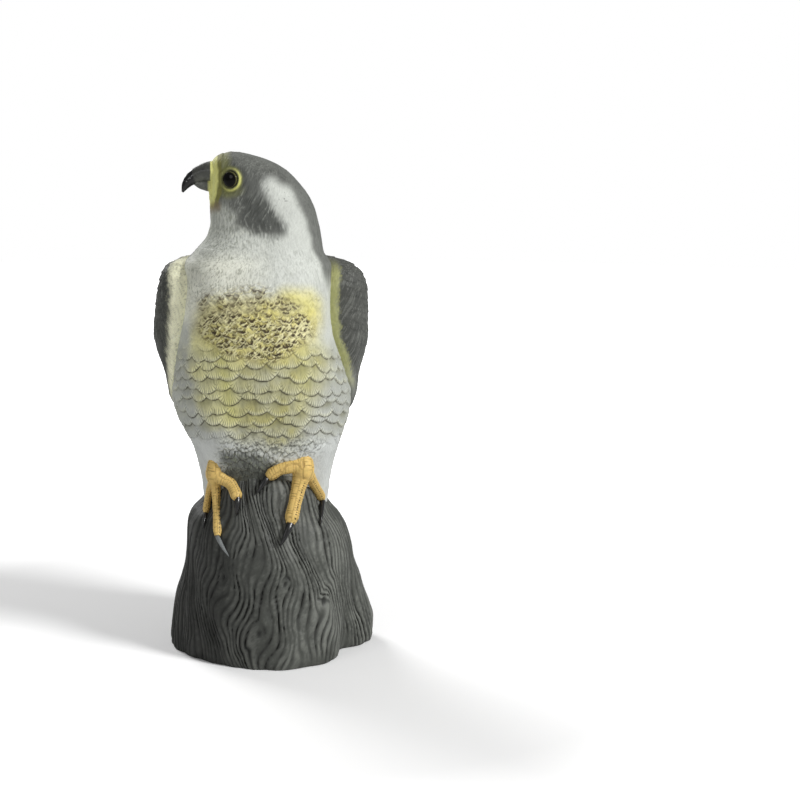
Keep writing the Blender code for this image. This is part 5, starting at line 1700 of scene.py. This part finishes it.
@dataclass
class Bark:
    """The stump: a shell with wavering split bark, open underneath down to its ledge."""

    finish: PaintedPlastic
    columns: int = 560
    rows: int = 156
    lanes: int = 5
    rim: float = 2.5 * MM
    ledge: float = 5.8 * MM
    steps: int = 24
    knots: tuple[tuple[float, float, float], ...] = (
        (-13.0, 28.0, 5.0),
        (42.0, 50.0, 6.0),
        (4.0, 66.0, 3.6),
        (-48.0, 70.0, 4.0),
    )

    def build(self) -> Object:
        """Carves the bark into the outer wall and closes the shell round the ballast space."""
        rows = STUMP.spread(0.0, STUMP.levels[-2, HEIGHT], self.rows)
        even = math.pi / 2 + circle(self.columns)[None]
        level = rows[:, HEIGHT, None] / SEAT
        # By repeated steps, the angles that the waves turn into even ones
        angles = even
        for _ in range(self.steps):
            waves = (size * np.sin(up * level + n * angles + start) for size, up, n, start in BARK_WAVES)
            angles = even - sum(waves)
        points = Form.skin(rows, angles)
        normal = outward(points)
        round_it = arc_length(points)
        z = points[..., 2]
        depth, ridge, lumps = self.carve(points, round_it - round_it[:, [self.columns // 2]], even)
        rough = mottle(points, 1.8 * MM, 2, FINE)
        fade = np.clip(rows[:, FRONT, None] / (0.2 * STUMP_SIZE[1]), 0.0, 1.0)
        ribs = (1 - np.abs(np.sin(BARK_RIDGES * even / 2))) ** 0.8 * fade
        relief = 0.6 * MM - BARK_DEPTH * ribs - 2.0 * MM * depth + 0.25 * MM * lumps + 0.10 * MM * rough
        relief = np.minimum(relief, 0.4 * MM) * ease(0.0, self.rim, z)
        relief = relief - BARK_DEPTH * ribs * ease(self.rim, 0.0, z)
        skin = points + normal * relief[..., None] * [1, 1, 0]
        coat = Coat(points, BARK_GREY)
        # Painted highlight on the ridges
        coat.add((110, 112, 106), 0.9 * ease(0.35, 1.0, ridge) * ease(-0.7, 0.5, lumps + 0.4 * rough))
        # Painted shade: darker towards -X, the side away from the key light
        coat.shade((1 + 0.07 * rough) * (0.27 + 0.89 * ease(-80 * MM, 58 * MM, points[..., 0])))
        under = self.under(angles[:1])
        plain = np.zeros(under.shape[:2])
        # Painted shade in the splits and painted highlight on the ridges
        furrow_shade = np.concatenate([plain, np.clip(depth, 0.0, 1.0)])
        rub_and_highlight = np.concatenate([plain, 0.35 * ease(0.5, 1.0, ridge)])
        paint = np.concatenate([Coat(under, BARK_GREY).paint, coat.paint])
        sheet = Sheet(np.concatenate([under, skin]), paint, furrow_shade=furrow_shade, rub_and_highlight=rub_and_highlight)
        return sheet.place("bark", self.finish, "stump_shell")

    def under(self, angles: Array) -> Array:
        """Rings from the ballast space's ceiling down its wall, over the plate's ledge and out to the rim."""
        wall = Form.skin(STUMP.rows(np.linspace(98 * MM, self.ledge, 14)), angles, grow=-5.2 * MM)
        ground = STUMP.rows(np.zeros(3))
        ground[:, HEIGHT] = (self.ledge, self.ledge, 0.0)
        ledge = Form.skin(ground[:1], angles, grow=-5.15 * MM)
        lip = Form.skin(ground[1:], angles, grow=-4.6 * MM)
        return np.concatenate([wall, ledge, lip])

    def carve(self, points: Array, across: Array, turned: Array) -> tuple[Array, Array, Array]:
        """Depth of the splits between the main ridges: lanes in step with them that part round the knots.

        Args:
            points: the plain surface.
            across: distance round the stump from the middle of its front.
            turned: angle round the stump, turned aside with the ridges.

        Returns:
            The depth of the splits and the height of the ridges, from 0 to 1, and coarse lumps.
        """
        x, y, z = np.moveaxis(points, -1, 0)
        u, h = across / MM, z / MM
        flow = u.copy()
        eyes = np.zeros_like(u)
        for place, high, size in self.knots:
            du, dh = u - place, (h - high) / 1.7
            far = np.maximum(np.hypot(du, dh), 1e-3)
            pull = np.minimum((size / far) ** 2, 1.0) * np.exp(-((far / (3.2 * size)) ** 2)) ** 0.5
            flow = flow - du * pull
            inside = ease(0.55 * size, 0.1 * size, far)
            eyes = np.maximum(eyes, inside)
        pitch = np.hypot(x, y) / MM * math.tau / (BARK_RIDGES * self.lanes)
        warp = 1.6 * GRAIN.at(u / 13, h / 19, 5.0) + 0.6 * GRAIN.at(u / 5, h / 8, 8.0)
        lane = turned * BARK_RIDGES * self.lanes / math.tau + (flow - u + warp) / pitch
        lane = lane + 0.33 * np.sin(lane * 0.9 + 1.7 * GRAIN.at(u / 40, h / 40, 4.0))
        index = np.floor(lane)
        part = np.abs(lane - index - 0.5) * 2
        own = GRAIN.at(index * 5.37, h / 15 + 3.1 * index, 6.0)
        split = 0.45 * part**2.2 + 0.55 * ease(0.58, 1.0, part)
        strength = np.clip(0.62 + 0.95 * own, 0.0, 1.2)
        after = GRAIN.at((index + np.where(lane - index > 0.5, 1, 0)) * 3.91, h / 23, 9.0)
        strength = strength * np.clip(0.75 + 0.6 * after, 0.1, 1.1)
        depth = split * strength + 0.22 * ease(0.25, 0.6, FINE.at(lane * 2.1, h / 11, 12.0))
        depth = depth * (1 - eyes) + 0.85 * eyes
        ridge = (1 - part**2) * (1 - 0.6 * eyes)
        lumps = GRAIN.layers(x / (16 * MM), y / (16 * MM), z / (26 * MM), 2)
        return depth, ridge, lumps


def on_front(x: float, height: float, lift: float) -> Array:
    """A point in front of the bird or stump, from X and height above the seat in hundredths of the foot."""
    x = x / 100 * FOOT
    high = SEAT + height / 100 * FOOT
    return np.array((x, front_face(x, high) - lift, high))


@dataclass
class Foot:
    """Ankle and three toes in one skin, with plates on their tops, rows of pores and dark toe ends."""

    side: Side
    finish: PaintedPlastic
    cell: float = 0.5 * MM
    plate: float = 2.1 * MM
    plate_turn: float = 0.95

    def paths(self) -> list[tuple[Array, Array]]:
        """Path and girth of the ankle and of each toe."""
        label = self.side.name.lower()
        (x1, x2), (h1, h2), girth = ANKLES[label]
        girth = girth / 100 * FOOT
        top = on_front(x1, h1, -girth / 2)
        root = on_front(x2, h2, girth / 3)
        low = on_front(x2, h2 - 100 * girth / FOOT, girth / 4)
        ankle = girth * swell((0.8, 0.92, 1.05, 1.12, 0.95, 0.5), 40)
        out = [(leant(smooth_path([top, root, low], 40)), ankle)]
        for xs, heights, radius, _ in TOES[label]:
            radius = radius / 100 * FOOT
            path = smooth_path([on_front(x, h, radius * 0.65) for x, h in zip(xs, heights)], 60)
            girths = radius * swell((1.3, 1.15, 1.02, 0.98, 0.93, 0.97, 1.0, 0.62), 60)
            out.append((leant(path), girths))
        return out

    def body(self, paths: list[tuple[Array, Array]]) -> Mesh:
        """Joins the tubes into one closed skin of even cells."""
        points, faces, start = [], [], 0
        for path, girth in paths:
            part = Sheet(tube(path, girth, girth, 28), np.zeros(3)).mesh("part")
            co = np.empty(len(part.vertices) * 3, np.float32)
            part.vertices.foreach_get("co", co)
            points.append(co.reshape(-1, 3))
            faces += [[v + start for v in face.vertices] for face in part.polygons]
            start += len(part.vertices)
            bpy.data.meshes.remove(part)
        mesh = bpy.data.meshes.new("foot_tubes")
        mesh.from_pydata(np.concatenate(points).tolist(), [], faces)
        holder = linked("foot_tubes", mesh)
        remesh = holder.modifiers.new("skin", "REMESH")
        remesh.mode, remesh.voxel_size, remesh.use_smooth_shade = "VOXEL", self.cell, True
        soft = holder.modifiers.new("soft", "SMOOTH")
        soft.factor, soft.iterations = 0.5, 4
        graph = bpy.context.evaluated_depsgraph_get()
        made = bpy.data.meshes.new_from_object(holder.evaluated_get(graph))
        bpy.data.objects.remove(holder)
        bpy.data.meshes.remove(mesh)
        return made

    @staticmethod
    def along(co: Array, paths: list[tuple[Array, Array]]) -> tuple[Array, Array, Array, Array]:
        """Where each point of the skin lies on the ankle or toe nearest to it.

        Args:
            co: the skin's points.
            paths: path and girth of the ankle and of each toe.

        Returns:
            Distance from the path's start, angle round it, distance to its end, and its number.
        """
        best = np.full(len(co), 1e3)
        run, turn, end, which = (np.zeros(len(co)) for _ in range(4))
        for number, (path, girth) in enumerate(paths):
            gap = np.linalg.norm(co[:, None] - path[None], axis=-1) - girth[None]
            near = gap.argmin(axis=1)
            length = arc_length(path[None])[0]
            off = co - path[near]
            around = np.arctan2(off[:, 0], -off[:, 1] + 0.25 * off[:, 2])
            closer = gap.min(axis=1) < best
            best = np.minimum(best, gap.min(axis=1))
            run = np.where(closer, length[near], run)
            end = np.where(closer, length[-1] - length[near], end)
            turn = np.where(closer, around, turn)
            which = np.where(closer, number, which)
        return run, turn, end, which

    def build(self) -> Object:
        """Raises the plates, sinks the pores and paints the foot."""
        paths = self.paths()
        mesh = self.body(paths)
        count = len(mesh.vertices)
        co = np.empty(count * 3, np.float32)
        normal = np.empty(count * 3, np.float32)
        mesh.vertices.foreach_get("co", co)
        mesh.vertex_normals.foreach_get("vector", normal)
        co, normal = co.reshape(-1, 3).astype(float), normal.reshape(-1, 3).astype(float)
        run, turn, end, which = self.along(co, paths)
        column = np.floor(turn / self.plate_turn)
        lane = run / self.plate + 0.5 * np.mod(column, 2) + 0.12 * GRAIN.at(run / (4 * MM), turn, which)
        along_cell = np.abs(lane - np.floor(lane) - 0.5) * 2
        across_cell = np.abs(turn / self.plate_turn - column - 0.5) * 2
        plates = (1 - ease(0.72, 1.0, along_cell)) * (1 - 0.8 * ease(0.80, 1.0, across_cell))
        front = ease(2.1, 1.5, np.abs(turn))
        dot = np.hypot((lane - np.floor(lane) - 0.5) * self.plate / MM, np.abs(turn - 0.62) * 3.4)
        pore = ease(0.62, 0.34, dot) * (which > 0) * ease(3 * MM, 6 * MM, run)
        rough = mottle(co, 1.1 * MM, 2, FINE)
        relief = 0.30 * MM * (plates - 0.5) * front - 0.45 * MM * pore + 0.07 * MM * rough
        socket = ease(1.5 * MM, 0.7 * MM, end + 0.4 * MM * rough) * (which > 0)
        co = co + normal * (relief - 0.5 * MM * socket)[:, None]
        mesh.vertices.foreach_set("co", co.astype(np.float32).ravel())
        coat = Coat(co, FOOT_PAINT)
        coat.add(FOOT_SHADE, 0.5 * (1 - plates) * front + 0.30 * (1 - front))
        coat.add((224, 186, 112), 0.45 * plates * front * ease(-0.3, 0.5, rough))
        coat.add(SPECKLE, 0.9 * pore)
        coat.add((36, 26, 18), 0.95 * socket)
        coat.shade(1 + 0.06 * rough)
        store(mesh, "paint", coat.paint)
        # Painted shade between the plates and in the pores
        store(mesh, "furrow_shade", np.clip((1 - plates) * front * 0.5 + pore, 0.0, 1.0))
        mesh.shade_smooth()
        node = f"{self.side.name.lower()}_foot"
        return placed(f"{node}_skin", mesh, self.finish.build(), node)


@dataclass
class Talon:
    """One bent claw that tapers from the toe's end to a point on the bark."""

    side: Side
    number: int
    finish: GlossPlastic
    bend: tuple[tuple[float, float], ...] = ((-0.08, 0.0), (0.3, 0.9), (0.65, 1.0), (1, 0))
    rows: int = 70
    columns: int = 48

    def build(self) -> Object:
        """Sweeps the claw and paints it black, or bare grey where the paint was left off."""
        label = self.side.name.lower()
        xs, heights, radius, (tip_x, tip_height) = TOES[label][self.number - 1]
        radius = radius / 100 * FOOT
        start = smooth_path([on_front(x, h, radius * 0.65) for x, h in zip(xs, heights)], 8)[-1]
        thin = radius * 0.52
        tip = on_front(tip_x, tip_height, thin * 0.4)
        reach = tip - start
        arch = np.array((0.0, -0.16 * np.linalg.norm(reach), 0.0))
        claw = [start + share * reach + rise * arch for share, rise in self.bend]
        girth = thin * swell((1.0, 1.05, 0.92, 0.74, 0.5, 0.10), self.rows)
        path = leant(smooth_path(claw, self.rows))
        points = tube(path, girth, girth, self.columns, 0.3)
        bare = label == "right" and self.number == 2
        colour = TALON_GREY if bare else BLACK
        share = np.linspace(0.0, 1.0, self.rows)[:, None]
        coat = Coat(points, colour)
        coat.add((60, 44, 30), np.broadcast_to(0.7 * ease(0.14, 0.02, share), points.shape[:2]))
        name = f"{label}_talon_{self.number}"
        sheet = Sheet(points, coat.paint, rub_and_highlight=0.9 if bare else 0.35)
        return sheet.place(f"{name}_claw", self.finish, name)


@dataclass(frozen=True)
class BarePlastic:
    """Unpainted moulded plastic of the underside: one colour with faint flow marks, scuffs and fine grain."""

    name: str
    colour: Colour
    roughness: float = 0.55
    grain: float = 0.6 * MM
    depth: float = 0.03 * MM

    def build(self) -> Material:
        """Makes the material's nodes."""
        tree = NodeSheet(self.name)
        place = tree.add("ShaderNodeTexCoord").outputs["Object"]
        flow = tree.noise(tree.scaled(place, (60.0, 180.0, 60.0)), 1.0, 3.0)
        fine = tree.noise(place, 1 / self.grain, 3.0)
        scuff = tree.noise(tree.scaled(place, (900.0, 60.0, 300.0)), 1.0, 2.0)
        scuff = tree.maths("MULTIPLY", tree.ranged(scuff, 0.62, 0.75, 0.0, 1.0), 0.25)
        level = tree.maths("ADD", tree.ranged(flow, 0.3, 0.7, 0.9, 1.1), scuff)
        return tree.finished({
            "Base Color": tree.tinted(tree.flat(shown(*self.colour)), level),
            "Roughness": tree.ranged(flow, 0.3, 0.7, self.roughness - 0.06, self.roughness + 0.08),
            "Normal": tree.bump(fine, self.depth, tree.bump(flow, 0.05 * MM, None)),
        })

    def dress(self, node: str) -> None:
        """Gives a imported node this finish."""
        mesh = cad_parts[node].data
        mesh.materials.clear()
        mesh.materials.append(self.build())
        LOG.info("%s: packed solid, new finish", node)


def looking(place: Vector, aim: Vector) -> Matrix:
    """Where a lamp or camera stands that looks from a place at its aim."""
    return Matrix.Translation(place) @ (aim - place).to_track_quat("-Z", "Y").to_matrix().to_4x4()


@dataclass(frozen=True)
class Lamp:
    """A soft studio light: where it stands, what it points at, its size and its power."""

    name: str
    place: tuple[float, float, float]
    size: float
    power: float
    aim: tuple[float, float, float] = AIM

    def build(self) -> Object:
        """Makes the light."""
        data = bpy.data.lights.new(self.name, "AREA")
        data.shape = "DISK"
        data.size = self.size
        data.energy = self.power
        lamp = linked(self.name, data)
        lamp.matrix_world = looking(Vector(self.place), Vector(self.aim))
        return lamp


@dataclass
class Studio:
    """Pale floor, white surroundings, soft lights and the camera."""

    lamps: tuple[Lamp, ...]
    around: float = 0.22
    floor_radius: float = 3.0
    floor_grey: float = 0.62
    gap: float = 0.4 * MM
    pool: tuple[float, float] = (0.32, 0.75)
    distance: float = 1.6
    lift: float = math.radians(10)
    aim: tuple[float, float, float] = AIM
    lens: float = 89.4
    sensor: float = 36.0
    shift: float = 0.1675

    def build(self) -> None:
        """Sets the stage."""
        self.floor()
        self.world()
        for lamp in self.lamps:
            lamp.build()
        self.camera()

    def floor(self) -> None:
        """A wide plain floor that keeps the shadow and shows as paper white to the camera."""
        turn = circle(96)
        rim = self.floor_radius * np.stack([np.cos(turn), np.sin(turn), 0 * turn], axis=-1)
        mesh = bpy.data.meshes.new("floor")
        mesh.from_pydata(rim.tolist(), [], [list(range(len(rim)))])
        floor = linked("floor", mesh)
        floor.location.z = -self.gap
        tree = NodeSheet("floor")
        ray = tree.add("ShaderNodeLightPath").outputs["Is Camera Ray"]
        far = tree.add("ShaderNodeVectorMath")
        far.operation = "LENGTH"
        tree.link(tree.add("ShaderNodeTexCoord").outputs["Object"], far.inputs[0])
        paper = tree.ranged(far.outputs["Value"], *self.pool, 0.0, 1.0)
        level = tree.ranged(ray, 0.0, 1.0, self.floor_grey, 1.0)
        mesh.materials.append(tree.finished({
            "Base Color": tree.tinted(tree.flat(WHITE_LIGHT[:3]), level),
            "Roughness": 1.0,
            "Specular IOR Level": 0.0,
            "Emission Color": WHITE_LIGHT,
            "Emission Strength": tree.maths("MULTIPLY", paper, ray),
        }))

    def world(self) -> None:
        """White to the camera, an even grey glow to everything else."""
        world = bpy.data.worlds.new("studio")
        bpy.context.scene.world = world
        world.use_nodes = True
        nodes, links = world.node_tree.nodes, world.node_tree.links
        back = nodes["Background"]
        back.inputs["Color"].default_value = WHITE_LIGHT
        ray = nodes.new("ShaderNodeLightPath")
        level = nodes.new("ShaderNodeMapRange")
        level.inputs["To Min"].default_value = self.around
        level.inputs["To Max"].default_value = 1.0
        links.new(ray.outputs["Is Camera Ray"], level.inputs["Value"])
        links.new(level.outputs["Result"], back.inputs["Strength"])

    def camera(self) -> None:
        """The photograph's viewing angle and framing."""
        data = bpy.data.cameras.new("camera")
        data.lens, data.sensor_width, data.shift_x = self.lens, self.sensor, self.shift
        camera = linked("camera", data)
        aim = Vector(self.aim)
        place = aim + self.distance * Vector((0.0, -math.cos(self.lift), math.sin(self.lift)))
        camera.matrix_world = looking(place, aim)
        bpy.context.scene.camera = camera
        bpy.context.scene.view_settings.view_transform = "Standard"


def main() -> None:
    """Builds and dresses the decoy, then its studio."""
    logging.basicConfig(level=logging.INFO, format="%(message)s")
    feathers = PaintedPlastic("feather_paint", barbs=0.5)
    smooth = PaintedPlastic("hood_paint", streak_depth=0.12 * MM)
    quills = PaintedPlastic("wing_paint", barbs=0.3, roughness=0.6, streak_depth=0.32 * MM)
    bark = PaintedPlastic("bark_paint", streak=(1.4 * MM, 12 * MM), furrow_shade=0.8, roughness=0.55)
    skin = PaintedPlastic("foot_paint", roughness=0.5, streak_depth=0.0, furrow_shade=0.5)
    gloss = GlossPlastic("eye_gloss", roughness=0.05, coat=0.06, specular=0.10)
    horn = GlossPlastic("horn", roughness=0.2, coat=0.25, depth=0.01 * MM)
    eyes = (eye_seat(-1), eye_seat(1))
    Torso(feathers).build()
    Hood(smooth, eyes).build()
    for node, (place, look) in zip(("left_eye", "right_eye"), eyes):
        Eye(node, place, look, gloss).build()
    for beak in (UPPER_BEAK, LOWER_BEAK):
        Beak(finish=horn, **beak).build()
    Wing(Side.LEFT, 30.5 * MM, quills).build()
    Wing(Side.RIGHT, 23 * MM, quills).build()
    Tail(quills).build()
    Bark(bark).build()
    for side in Side:
        Foot(side, skin).build()
        for number in (1, 2, 3):
            Talon(side, number, horn).build()
    BarePlastic("base_plate_plastic", NAPE_SHADE).dress("base_plate")
    BarePlastic("plug_plastic", PLUG_BLACK, roughness=0.42).dress("filler_plug")
    Studio(
        (
            Lamp("key", (2.0, -1.35, 1.9), size=0.8, power=70.0),
            Lamp("fill", (-1.5, -2.0, 1.3), size=1.4, power=12.0),
            Lamp("back", (-1.2, 2.0, 1.9), size=1.3, power=48.0),
        )
    ).build()


if __name__ == "__main__":
    main()
